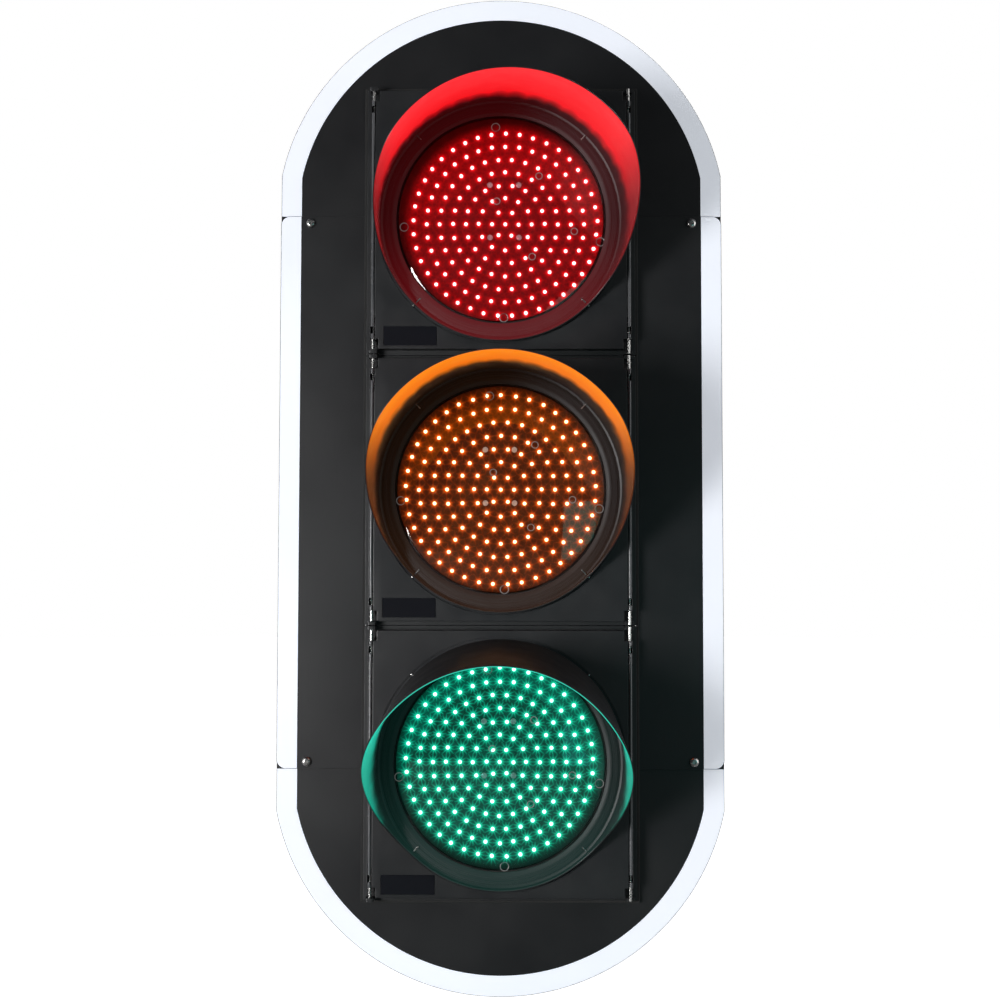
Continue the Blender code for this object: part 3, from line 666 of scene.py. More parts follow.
def lens_finish(aspect):
    """Clear tinted polycarbonate with a few smears."""
    material, graph, shader = new_finish(f"Tinted lens {aspect}")
    tint = getattr(colours(), f"{aspect}_tint")
    marks = use_group(graph, "Handling marks", Low=0.012, High=0.035, Smear_Scale=14.0, Scratches=0.08)
    place = graph.rest_place()
    ripple = graph.noise(place, 30.0, 2.0, 0.5)
    base = graph.blend(ripple, rgba(tint, 0.96), rgba(tint, 1.0))
    graph.feed(shader["Base Color"], base)
    graph.feed(shader["Roughness"], marks["Roughness"])
    shader["Transmission Weight"].default_value = 1.0
    shader["IOR"].default_value = 1.50
    raise_surface(graph, shader, ripple, 0.05, 0.0002)
    return material


def lamp_plate_finish(aspect):
    """The lit plate behind a lens: a dark board with the halo and the rays of every diode painted on it as
    glow.
    """
    material, graph, shader = new_finish(f"Lamp plate {aspect}")
    light = getattr(colours(), f"{aspect}_light")
    side, height = DIODE_OFFSET[aspect]
    field = use_group(
        graph,
        "Diode field",
        Side=side,
        Height=LENS_Z[aspect] + height,
        Pitch=DIODE_PITCH[aspect],
        Ray_Count=RAYS_ROUND[aspect],
    )
    place = graph.rest_place()
    strands = graph.smooth(graph.cells(place, 190.0), 0.16, 0.02)
    mottle = graph.noise(place, 260.0, 3.0, 0.6)
    ground_level = GROUND_GLOW[aspect]
    ground = graph.times(graph.ramp(mottle, 0.3, 0.7, 0.45, 1.5), ground_level)
    ground = graph.math("MULTIPLY_ADD", strands, ground_level * 0.8, ground)
    lit = graph.math("MULTIPLY_ADD", field["Halo"], HALO_GLOW[aspect], ground)
    lit = graph.math("MULTIPLY_ADD", field["Rays"], RAY_GLOW[aspect], lit)
    lit = graph.times(lit, field["Field"])
    lit = graph.plus(lit, ground_level * 0.22)
    tint = graph.blend(1.0, (0.0, 0.0, 0.0, 1.0), rgba(light))
    graph.feed(shader["Emission Color"], graph.scaled(tint, lit))
    # The painted glow is full where it is seen directly and weaker as light cast on other surfaces.
    path = graph.node("ShaderNodeLightPath").outputs
    bounces = graph.plus(path["Diffuse Depth"], path["Glossy Depth"])
    direct = graph.math("LESS_THAN", bounces, 0.5)
    graph.feed(shader["Emission Strength"], graph.math("MULTIPLY_ADD", direct, 0.7, 0.3))
    graph.feed(shader["Base Color"], graph.blend(mottle, grey(0.004), grey(0.012)))
    shader["Roughness"].default_value = 0.6
    return material


def diode_finish(aspect):
    """A lit diode: almost white in the middle, its own colour towards the rim."""
    material, graph, shader = new_finish(f"Diode {aspect}")
    light = getattr(colours(), f"{aspect}_light")
    facing = graph.node("ShaderNodeLayerWeight", {"Blend": 0.35}).outputs["Facing"]
    colour = graph.blend(graph.smooth(facing, 0.35, 0.90), rgba(DIODE_CORE[aspect]), rgba(light, 1.6))
    graph.feed(shader["Emission Color"], colour)
    depth = graph.node("ShaderNodeLightPath").outputs["Diffuse Depth"]
    graph.feed(shader["Emission Strength"], graph.math("LESS_THAN", depth, 0.5))
    graph.feed(shader["Base Color"], graph.blend(facing, rgba(light, 0.6), rgba(light, 0.2)))
    shader["Roughness"].default_value = 0.15
    return material


def screw_finish(aspect):
    """Dull nickel plate with the light of the diodes round it painted on as a fixed glow."""
    material = metal_finish(f"Dull nickel {aspect}", (0.55, 0.55, 0.55), 0.45, 0.6, 0.2)
    shader = material.node_tree.nodes["Principled BSDF"].inputs
    # Painted light: a fixed glow stands in for the diode light that falls on the screw heads.
    shader["Emission Color"].default_value = rgba(SCREW_GLOW[aspect])
    shader["Emission Strength"].default_value = 1.0
    shader["Metallic"].default_value = 0.3
    return material


def visor_finish(aspect):
    """Black moulded visor with the light of its own lamp painted on its inside as a glow."""
    material = moulded_finish(f"Visor plastic {aspect}", colours().shell, 0.46, 0.2, 0.3, 0.09)
    graph = Graph(material.node_tree)
    shader = material.node_tree.nodes["Principled BSDF"].inputs
    start, side, shift = HOOD_LINE[aspect]
    hood = use_group(
        graph, "Hood light", Start=start, Softness=0.026, Scallop=0.008, Side_Light=side, Side_Shift=shift
    )
    # Painted light: the inside of the visor glows where the lamp light falls on it.
    lit = graph.blend(hood["Depth"], rgba(HOOD_NEAR[aspect]), rgba(HOOD_FAR[aspect]))
    glow = graph.blend(hood["Mask"], rgba(HOOD_DARK[aspect]), lit)
    graph.feed(shader["Emission Color"], graph.scaled(glow, hood["Dim"]))
    shader["Emission Strength"].default_value = 1.0
    shader["Specular IOR Level"].default_value = 0.36
    return material


def plain_plate_finish(name, colour, rough, glow=0.0, shine=0.5):
    """A printed or laminated plate with a slight mottle. A glow above 0 is painted light."""
    material, graph, shader = new_finish(name)
    place = graph.rest_place()
    mottle = graph.noise(place, 60.0, 5.0, 0.6)
    graph.feed(shader["Base Color"], graph.blend(mottle, rgba(colour, 0.8), rgba(colour, 1.2)))
    graph.feed(shader["Roughness"], graph.ramp(mottle, 0.3, 0.7, rough - 0.06, rough + 0.06))
    shader["Emission Color"].default_value = (1.0, 0.95, 0.93, 1.0)
    shader["Emission Strength"].default_value = glow
    shader["Specular IOR Level"].default_value = shine
    raise_surface(graph, shader, graph.noise(place, 900.0), 0.1, 0.0001)
    return material


FINISHES = {}


def make_finishes():
    """Every group and material, made once."""
    make_moulded_grain()
    make_rubbed_edges()
    make_settled_dust()
    make_handling_marks()
    make_diode_field()
    make_hood_light()
    make_brushed_lines()
    shell = colours().shell
    FINISHES["casing"] = moulded_finish("Casing plastic", shell, 0.45)
    FINISHES["door"] = moulded_finish("Door plastic", [1.25 * c for c in shell], 0.38, 0.22, 0.5, 0.22)
    # Painted highlight: the bead is light grey, not black like the door plastic, so a light line runs along
    # it as well as its real gloss.
    FINISHES["bead"] = moulded_finish("Polished bead", (0.085, 0.087, 0.092), 0.26, 0.08, 0.2, 0.1)
    FINISHES["skirt"] = plain_plate_finish("Lens skirt", (0.050, 0.042, 0.042), 0.18)
    FINISHES["module"] = moulded_finish("Module plastic", [1.6 * c for c in shell], 0.52)
    FINISHES["board"] = board_finish("Board powder coat")
    FINISHES["film"] = film_finish("White reflective film")
    FINISHES["rubber"] = rubber_finish("Seal rubber")
    FINISHES["steel"] = metal_finish("Stainless steel", colours().steel, 0.20, 0.34, 0.18)
    FINISHES["zinc"] = metal_finish("Zinc plate", colours().zinc, 0.34, 0.48, 0.3)
    FINISHES["terminal"] = plain_plate_finish("Terminal plastic", colours().cream, 0.5)
    FINISHES["plate"] = plain_plate_finish("Blank name plate", (0.0030, 0.0036, 0.0066), 0.66, 0.0, 0.12)
    # Painted light: the lens's mould rings are light grey and glow a little, standing in for diode light
    # caught in them.
    FINISHES["mark"] = plain_plate_finish("Moulding ring", (0.12, 0.11, 0.11), 0.30, 0.07)
    for aspect in ASPECTS:
        FINISHES[f"lens_{aspect}"] = lens_finish(aspect)
        FINISHES[f"plate_{aspect}"] = lamp_plate_finish(aspect)
        FINISHES[f"diode_{aspect}"] = diode_finish(aspect)
        FINISHES[f"visor_{aspect}"] = visor_finish(aspect)
        FINISHES[f"screw_{aspect}"] = screw_finish(aspect)


# ---------------------------------------------------------------- mesh tools

PLACE = {
    "Y": lambda u, v, w: Vector((u, w, v)),
    "Z": lambda u, v, w: Vector((u, v, w)),
    "X": lambda u, v, w: Vector((w, u, v)),
}


def circle(radius, at=(0.0, 0.0), sides=96, phase=0.0):
    turns = (math.tau * step / sides + phase for step in range(sides))
    return [(at[0] + radius * math.cos(turn), at[1] + radius * math.sin(turn)) for turn in turns]


def arc(centre, radius, start, end, steps):
    angles = (math.radians(start + (end - start) * step / steps) for step in range(steps + 1))
    return [(centre[0] + radius * math.cos(a), centre[1] + radius * math.sin(a)) for a in angles]


def rectangle(half_u, half_v, centre=(0.0, 0.0)):
    corners = ((-half_u, -half_v), (half_u, -half_v), (half_u, half_v), (-half_u, half_v))
    return shifted(corners, *centre)


def shifted(points, du, dv):
    return [(u + du, v + dv) for u, v in points]


def area(points):
    pairs = zip(points, points[1:] + points[:1])
    return sum(a[0] * b[1] - b[0] * a[1] for a, b in pairs) / 2


def turning_left(points):
    """The outline in counter-clockwise order."""
    return list(points) if area(points) > 0 else list(reversed(points))


def rounded(points, radius, steps=3):
    """The outline with each corner softened. A radius of 0 in a row of radii leaves its corner sharp."""
    radii = radius if isinstance(radius, (list, tuple)) else [radius] * len(points)
    soft = []
    for index, (here, reach) in enumerate(zip(points, radii)):
        before = Vector(points[index - 1])
        after = Vector(points[(index + 1) % len(points)])
        corner = Vector(here)
        if reach <= 0:
            soft.append(tuple(corner))
            continue
        start = corner + (before - corner).normalized() * reach
        end = corner + (after - corner).normalized() * reach
        for step in range(steps + 1):
            part = step / steps
            point = start * (1 - part) ** 2 + corner * (2 * part * (1 - part)) + end * part**2
            soft.append(tuple(point))
    return soft


def inset(points, distance):
    """The outline moved inwards by a distance, corner by corner. It runs counter-clockwise."""
    if not distance:
        return list(points)
    moved = []
    for index, here in enumerate(points):
        before = Vector(points[index - 1])
        after = Vector(points[(index + 1) % len(points)])
        corner = Vector(here)
        first = (corner - before).normalized()
        second = (after - corner).normalized()
        normal_a = Vector((-first.y, first.x))
        normal_b = Vector((-second.y, second.x))
        share = max(0.2, 1 + normal_a.dot(normal_b))
        moved.append(tuple(corner + (normal_a + normal_b) * (distance / share)))
    return moved


def spoke(degrees, near, far, half_width):
    """The outline of a narrow bar that points away from the middle."""
    angle = math.radians(degrees)
    along = Vector((math.cos(angle), math.sin(angle)))
    across = Vector((-math.sin(angle), math.cos(angle))) * half_width
    inner_end = along * near
    outer_end = along * far
    corners = (inner_end - across, outer_end - across, outer_end + across, inner_end + across)
    return [tuple(corner) for corner in corners]


def ring_of(bm, points):
    return [bm.verts.new(point) for point in points]


def skin(bm, rings, closed=True):
    """Quads between neighbouring rings of the same number of corners."""
    for near, far in zip(rings, rings[1:]):
        count = len(near)
        for index in range(count if closed else count - 1):
            after = (index + 1) % count
            bm.faces.new((near[index], near[after], far[after], far[index]))


def close_over(bm, rings):
    """Fills the flat area bounded by the rings, leaving holes where one lies in another."""
    edges = []
    for ring in rings:
        for index, vert in enumerate(ring):
            after = ring[(index + 1) % len(ring)]
            edge = bm.edges.get((vert, after)) or bm.edges.new((vert, after))
            edges.append(edge)
    bmesh.ops.triangle_fill(bm, edges=edges, use_beauty=True, use_dissolve=False)


def easing(edge, low, high, ease_low=True, ease_high=True):
    """(inset, level) pairs that round the two edges of a wall off."""
    soft = []
    if ease_low and edge:
        soft += [(edge, low), (edge * 0.3, low + edge * 0.3), (0.0, low + edge)]
    else:
        soft += [(0.0, low)]
    if ease_high and edge:
        soft += [(0.0, high - edge), (edge * 0.3, high - edge * 0.3), (edge, high)]
    else:
        soft += [(0.0, high)]
    return soft


def plate(bm, axis, outline, low, high, holes=(), edge=0.0004, ease_low=True, ease_high=True):
    """A flat closed body between two levels, with its edges eased and its holes open."""
    steps = easing(edge, low, high, ease_low, ease_high)
    ends = ([], [])
    for is_hole, loop in [(False, outline)] + [(True, hole) for hole in holes]:
        loop = turning_left(loop)
        rings = []
        for distance, level in steps:
            points = inset(loop, -distance if is_hole else distance)
            rings.append(ring_of(bm, [PLACE[axis](u, v, level) for u, v in points]))
        skin(bm, rings)
        ends[0].append(rings[0])
        ends[1].append(rings[-1])
    for rings in ends:
        close_over(bm, rings)


def turned(bm, profile, axis="Y", centre=(0.0, 0.0), sides=96, closed=True, start=0.0):
    """A body turned about an axis through centre, from (radius, level) points."""
    columns = []
    for step in range(sides):
        angle = math.tau * step / sides + start
        column = []
        for radius, level in profile:
            u = centre[0] + radius * math.cos(angle)
            v = centre[1] + radius * math.sin(angle)
            column.append(PLACE[axis](u, v, level))
        columns.append(column)
    poles = {}
    rows = []
    for index, (radius, level) in enumerate(profile):
        if radius < 1e-7:
            poles[index] = bm.verts.new(PLACE[axis](centre[0], centre[1], level))
            rows.append([poles[index]] * sides)
        else:
            rows.append([bm.verts.new(column[index]) for column in columns])
    pairs = list(zip(rows, rows[1:]))
    if closed:
        pairs.append((rows[-1], rows[0]))
    for near, far in pairs:
        for index in range(sides):
            after = (index + 1) % sides
            corners = []
            for vert in (near[index], near[after], far[after], far[index]):
                if vert not in corners:
                    corners.append(vert)
            if len(corners) > 2:
                bm.faces.new(corners)


def rod(bm, radius, low, high, axis="Z", centre=(0.0, 0.0), sides=20, edge=0.0003):
    """A round rod with eased ends."""
    profile = [
        (0.0, low),
        (radius - edge, low),
        (radius - edge * 0.3, low + edge * 0.3),
        (radius, low + edge),
        (radius, high - edge),
        (radius - edge * 0.3, high - edge * 0.3),
        (radius - edge, high),
        (0.0, high),
    ]
    turned(bm, profile, axis, centre, sides, closed=False)


def hexagon_head(bm, radius, low, high, axis, centre, bore=0.0, phase=0.0):
    """A hexagon nut or bolt head with its corners turned off."""
    sides = 48
    rings = []
    drop = 0.12 * radius
    for level, limit in ((low, 0.93), (low + drop, 1.05), (high - drop, 1.05), (high, 0.93)):
        points = []
        for step in range(sides):
            angle = math.tau * step / sides
            within = (angle % (math.pi / 3)) - math.pi / 6
            flat = radius * math.cos(math.pi / 6) / math.cos(within)
            reach = min(flat, radius * limit)
            u = centre[0] + reach * math.cos(angle + phase)
            v = centre[1] + reach * math.sin(angle + phase)
            points.append(PLACE[axis](u, v, level))
        rings.append(ring_of(bm, points))
    skin(bm, rings)
    if bore:
        inner = []
        for level in (low, high):
            inner.append(ring_of(bm, [PLACE[axis](u, v, level) for u, v in circle(bore, centre, sides)]))
        skin(bm, inner)
        close_over(bm, [rings[0], inner[0]])
        close_over(bm, [rings[-1], inner[1]])
    else:
        close_over(bm, [rings[0]])
        close_over(bm, [rings[-1]])


def socket_screw(bm, centre, under, head_radius, head_height, shank_radius, length, direction=-1):
    """A button-head screw with a hexagon socket, along Y. Its head stands out from the level under it."""
    out = direction
    profile = [
        (0.0, under - out * length),
        (shank_radius * 0.8, under - out * length),
        (shank_radius, under - out * (length - 0.0008)),
        (shank_radius, under),
        (head_radius * 0.97, under),
        (head_radius, under + out * 0.0004),
        (head_radius * 0.98, under + out * 0.0010),
        (head_radius * 0.88, under + out * head_height * 0.62),
        (head_radius * 0.72, under + out * head_height * 0.88),
        (head_radius * 0.52, under + out * head_height),
    ]
    sides = 36
    turned(bm, profile, "Y", centre, sides, closed=False)
    top = under + out * head_height
    floor = under + out * head_height * 0.35
    rim = [vert for vert in bm.verts if abs(vert.co.y - top) < 1e-6 and vert.is_boundary]
    rim = [v for v in rim if math.hypot(v.co.x - centre[0], v.co.z - centre[1]) < head_radius]
    rim.sort(key=lambda v: math.atan2(v.co.z - centre[1], v.co.x - centre[0]))
    rings = [rim]
    for level in (top, floor):
        points = []
        for vert in rim:
            angle = math.atan2(vert.co.z - centre[1], vert.co.x - centre[0])
            within = (angle % (math.pi / 3)) - math.pi / 6
            reach = head_radius * 0.40 * math.cos(math.pi / 6) / math.cos(within)
            u = centre[0] + reach * math.cos(angle)
            v = centre[1] + reach * math.sin(angle)
            points.append(PLACE["Y"](u, v, level))
        rings.append(ring_of(bm, points))
    skin(bm, rings)
    close_over(bm, [rings[-1]])


def dome(bm, centre, level, radius, out=-1, rows=4, sides=12):
    """A small lamp body: a short neck and a round cap, along Y."""
    neck = radius * 0.5
    profile = [(0.0, level), (radius, level), (radius, level + out * neck)]
    for row in range(1, rows + 1):
        angle = math.pi / 2 * row / rows
        narrow = radius * math.cos(angle) if row < rows else 0.0
        profile.append((narrow, level + out * (neck + radius * math.sin(angle))))
    turned(bm, profile, "Y", centre, sides, closed=False)


def torus(bm, centre, level, radius, thickness, sides=32, around=8):
    """A thin ring about an axis along Y."""
    profile = []
    for step in range(around):
        angle = math.tau * step / around
        profile.append((radius + thickness * math.cos(angle), level + thickness * math.sin(angle)))
    turned(bm, profile, "Y", centre, sides)


def finished(name, bm, finish, body, replaced=(), sharp=38.0, weighted=True):
    """Makes the piece of a mesh, gives it its finish and lets it ride on its body."""
    bmesh.ops.recalc_face_normals(bm, faces=bm.faces[:])
    mesh = bpy.data.meshes.new(name)
    bm.to_mesh(mesh)
    bm.free()
    piece = bpy.data.objects.new(name, mesh)
    bpy.context.scene.collection.objects.link(piece)
    mesh.materials.append(FINISHES[finish])
    mesh.shade_smooth()
    mesh.set_sharp_from_angle(angle=math.radians(sharp))
    if weighted:
        even = piece.modifiers.new("Even shading", "WEIGHTED_NORMAL")
        even.keep_sharp = True
        even.weight = 50
    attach(piece, body)
    if replaced:
        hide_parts(*replaced)
    return piece


# ---------------------------------------------------------------- casings


def casing_plan(distance=0.0, front=None):
    """The casing seen from above, with two large round corners at the back."""
    half = CASING_HALF - distance
    radius = CASING_CORNER - distance
    back = CASING_BACK - distance
    start = CASING_FRONT if front is None else front
    return (
        [(-half, start), (half, start)]
        + arc((half - radius, back - radius), radius, 0, 90, 14)
        + arc((radius - half, back - radius), radius, 90, 180, 14)
    )


def back_wrap(out, inside, front):
    """A strip that follows the casing's back from one side to the other."""
    outer = casing_plan(-out, front)
    inner = casing_plan(inside, front)
    return outer[1:] + outer[:1] + list(reversed(inner[1:] + inner[:1]))


def build_casing(aspect):
    """One moulded casing: walls, mouth, entries, lugs, bands and ribs."""
    edge = sizes().eased_edge
    floor = low_corner(f"casing_{aspect}").z
    top = floor + CASING_HEIGHT
    centre = (0.0, LENS_Z[aspect])
    wall_front = CASING_FRONT + CASING_WALL
    bm = bmesh.new()
    mouth = rounded(rectangle(MOUTH_HALF, MOUTH_HALF, centre), 0.006, 5)
    face = rounded(rectangle(CASING_HALF, CASING_HEIGHT / 2, centre), 0.002, 3)
    plate(bm, "Y", face, CASING_FRONT, wall_front, holes=(mouth,), edge=edge)
    walls = back_wrap(0.0, CASING_WALL, wall_front - 0.001)
    plate(bm, "Z", walls, floor + CASING_WALL, top - CASING_WALL, edge=0)
    roof = casing_plan(0.0, wall_front - 0.001)
    hole = circle(ENTRY_RADIUS, sides=64)
    plate(bm, "Z", roof, floor, floor + CASING_WALL, holes=(hole,), edge=0.0012, ease_high=False)
    plate(bm, "Z", roof, top - CASING_WALL, top, holes=(hole,), edge=0.0012, ease_low=False)
    for low in (floor + 0.010, top - 0.018):
        band = back_wrap(0.0012, 0.001, CASING_FRONT + 0.014)
        plate(bm, "Z", band, low, low + 0.008, edge=0.0006)
    for column in (-0.105, -0.0525, 0.0, 0.0525, 0.105):
        rib = rounded(rectangle(0.0016, 0.135, (column, LENS_Z[aspect])), 0.0010, 2)
        plate(bm, "Y", rib, CASING_BACK - 0.001, CASING_BACK + 0.0014, edge=0.0005, ease_low=False)
    ring = circle(ENTRY_RADIUS + 0.012, sides=64)
    inner = circle(ENTRY_RADIUS + 0.012 - 0.003, sides=64)
    for low, high in ((floor + CASING_WALL, floor + 0.0052), (top - 0.0052, top - CASING_WALL)):
        plate(bm, "Z", ring, low - 0.0005, high, holes=(inner,), edge=0.0003)
    lug_gap = ((CASING_HEIGHT / 2 - DOOR_HALF) - 0.005) / 2
    for low in (floor + lug_gap, top - lug_gap - 0.005):
        tongue = [(-0.0055, 0.0), (0.0055, 0.0), (0.0055, -0.018), (-0.0055, -0.018)]
        tongue = rounded(tongue, [0, 0, 0.003, 0.003], 4)
        hinge = shifted(tongue, -PIN_X, -0.048)
        plate(bm, "Z", hinge, low, low + 0.005, holes=(circle(0.0024, (-PIN_X, PIN_Y), 24),), edge=0.0004)
        step = rectangle(0.0055, 0.00485, (PIN_X, PIN_Y + 0.0023 + 0.00485))
        plate(bm, "Z", step, low, low + 0.005, edge=0.0004)
    for side in (-1, 1):
        for end in (-1, 1):
            post = (side * 0.158, LENS_Z[aspect] + end * 0.120)
            rod(bm, 0.0045, wall_front - 0.001, wall_front + 0.022, "Y", post, 24, 0.0006)
    finished(f"casing_shell_{aspect}", bm, "casing", "head", [f"casing_{aspect}"])


# ---------------------------------------------------------------- doors


def corner_path():
    """The door's top right corner: round the pin's channel and the notch, from side edge to top edge."""
    edge = DOOR_HALF
    return [
        (edge, edge - NOTCH_HEIGHT),
        (PIN_X + CHANNEL_HALF, edge - NOTCH_HEIGHT),
        (PIN_X + CHANNEL_HALF, edge - CHANNEL_DEPTH),
        (PIN_X - CHANNEL_HALF, edge - CHANNEL_DEPTH),
        (PIN_X - CHANNEL_HALF, edge - NOTCH_HEIGHT),
        (edge - NOTCH_WIDTH, edge - NOTCH_HEIGHT),
        (edge - NOTCH_WIDTH, edge),
    ]


def four_corners(path):
    """A quarter path mirrored into a whole outline, counter-clockwise."""
    right_top = list(path)
    left_top = [(-u, v) for u, v in reversed(path)]
    left_bottom = [(-u, -v) for u, v in path]
    right_bottom = [(u, -v) for u, v in reversed(path)]
    return right_top + left_top + left_bottom + right_bottom


def build_door(aspect):
    """The door: front sheet with its seat and plate recess, rim, corner blocks, collar, ribs and beads."""
    edge = sizes().eased_edge
    z = LENS_Z[aspect]
    bm = bmesh.new()
    notch_u = DOOR_HALF - NOTCH_WIDTH
    notch_v = DOOR_HALF - NOTCH_HEIGHT
    front = four_corners([(PIN_X - CHANNEL_HALF, notch_v), (notch_u, notch_v), (notch_u, DOOR_HALF)])
    front = rounded(front, [0.0008] * len(front), 3)
    sheet_back = DOOR_FRONT + DOOR_SHEET
    recess = rounded(rectangle(PLATE_HALF[0], PLATE_HALF[1], PLATE_CENTRE), 0.0008, 3)
    recess_floor = DOOR_FRONT + 0.0012
    rings_front = []
    rings_back = []
    for distance, level in easing(edge, DOOR_FRONT, sheet_back, True, False):
        points = inset(front, distance)
        rings_back.append(ring_of(bm, [PLACE["Y"](u, v + z, level) for u, v in points]))
    skin(bm, rings_back)
    rings_front.append(rings_back[0])
    seat = []
    steps = [
        (SEAT_RADIUS + edge * 0.7, DOOR_FRONT),
        (SEAT_RADIUS + edge * 0.2, DOOR_FRONT + edge * 0.25),
        (SEAT_RADIUS, DOOR_FRONT + edge * 0.7),
        (SEAT_RADIUS, DOOR_FRONT + SEAT_DEPTH),
        (APERTURE_RADIUS, DOOR_FRONT + SEAT_DEPTH),
        (APERTURE_RADIUS, sheet_back),
    ]
    for radius, level in steps:
        seat.append(ring_of(bm, [PLACE["Y"](u, v + z, level) for u, v in circle(radius, sides=128)]))
    skin(bm, seat)
    rings_front.append(seat[0])
    pocket = []
    for distance, level in ((-0.0002, DOOR_FRONT), (0.0, DOOR_FRONT + 0.0003), (0.0, recess_floor)):
        points = inset(turning_left(recess), distance)
        pocket.append(ring_of(bm, [PLACE["Y"](u, v + z, level) for u, v in points]))
    skin(bm, pocket)
    rings_front.append(pocket[0])
    close_over(bm, [pocket[-1]])
    close_over(bm, rings_front)
    close_over(bm, [rings_back[-1], seat[-1]])
    frame_line = four_corners(corner_path())
    inner = DOOR_HALF - DOOR_RIM
    arm = DOOR_HALF - DOOR_BLOCK
    cross = four_corners([(inner, arm), (arm, arm), (arm, inner)])
    cross = shifted(rounded(cross, 0.004, 4), 0, z)
    plate(bm, "Y", shifted(frame_line, 0, z), DOOR_FRONT + 0.0013, DOOR_BACK, holes=(cross,), edge=0.0002)
    collar = [
        (APERTURE_RADIUS, DOOR_FRONT + SEAT_DEPTH + 0.0005),
        (COLLAR_RADIUS, DOOR_FRONT + SEAT_DEPTH + 0.0005),
        (COLLAR_RADIUS, DOOR_BACK - 0.0004),
        (COLLAR_RADIUS - 0.0004, DOOR_BACK),
        (APERTURE_RADIUS + 0.0004, DOOR_BACK),
        (APERTURE_RADIUS, DOOR_BACK - 0.0004),
    ]
    turned(bm, collar, "Y", (0.0, z), 128)
    for turn in (20, 70, 110, 160, 200, 250, 290, 340):
        angle = math.radians(turn)
        span = min(inner / abs(math.cos(angle)), inner / abs(math.sin(angle))) + 0.001
        rib = shifted(spoke(turn, COLLAR_RADIUS - 0.0008, span, 0.0009), 0, z)
        plate(bm, "Y", rib, sheet_back - 0.0003, DOOR_BACK - 0.003, edge=0.0003, ease_low=False)
    for side in (-1, 1):
        for end in (-1, 1):
            cover = rectangle(0.0029, 0.0148, (side * PIN_X, z + end * (DOOR_HALF - 0.0280)))
            plate(bm, "Y", cover, DOOR_BACK - 0.0022, DOOR_BACK - 0.0001, edge=0.0002)
    body = f"door_{aspect}"
    finished(f"door_leaf_{aspect}", bm, "door", body, [f"door_{aspect}"])
    bm = bmesh.new()
    window_end = DOOR_HALF - WINDOW_SPAN[1]
    bridge = (DOOR_HALF - WINDOW_SPAN[0], DOOR_HALF - NOTCH_HEIGHT - 0.0004)
    for side in (-1, 1):
        bead = (side * (PIN_X + 0.0004), DOOR_FRONT + 0.0014)
        for low, high in ((-window_end, window_end), bridge, (-bridge[1], -bridge[0])):
            rod(bm, 0.0020, z + low, z + high, "Z", bead, 28, 0.0005)
    finished(f"edge_beads_{aspect}", bm, "bead", body)
    bm = bmesh.new()
    blank = rounded(rectangle(PLATE_HALF[0] - 0.0004, PLATE_HALF[1] - 0.0004, PLATE_CENTRE), 0.0008, 3)
    plate(bm, "Y", shifted(blank, 0, z), recess_floor - 0.0006, recess_floor - 0.00005, edge=0.0002)
    finished(f"name_plate_{aspect}", bm, "plate", body)


def build_seal(aspect):
    """The square foam seal with a soft bulge on both faces."""
    body = f"door_{aspect}"
    low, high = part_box(f"door_seal_{aspect}")
    z = LENS_Z[aspect]
    bm = bmesh.new()
    outer = rounded(rectangle(high.x, high.x, (0.0, z)), 0.006, 6)
    inner = rounded(rectangle(high.x - 0.007, high.x - 0.007, (0.0, z)), 0.003, 6)
    plate(bm, "Y", outer, low.y, high.y, holes=(inner,), edge=0.0008)
    finished(f"foam_seal_{aspect}", bm, "rubber", body, [f"door_seal_{aspect}"])


# ---------------------------------------------------------------- visors


def visor_reach(angle_from_top):
    """The share of the full length at an angle away from the visor's top."""
    for (angle_a, reach_a), (angle_b, reach_b) in zip(VISOR_REACH, VISOR_REACH[1:]):
        if angle_from_top <= angle_b:
            part = (angle_from_top - angle_a) / (angle_b - angle_a)
            return reach_a + (reach_b - reach_a) * part
    return VISOR_REACH[-1][1]


def soft_reach(angle_from_top):
    """The same share, averaged over a few degrees so that the cut edge runs smoothly."""
    spread = (-8, -4, 0, 4, 8)
    shares = (0.12, 0.22, 0.32, 0.22, 0.12)
    total = 0.0
    for offset, share in zip(spread, shares):
        total += share * visor_reach(min(180.0, abs(angle_from_top + offset)))
    return total


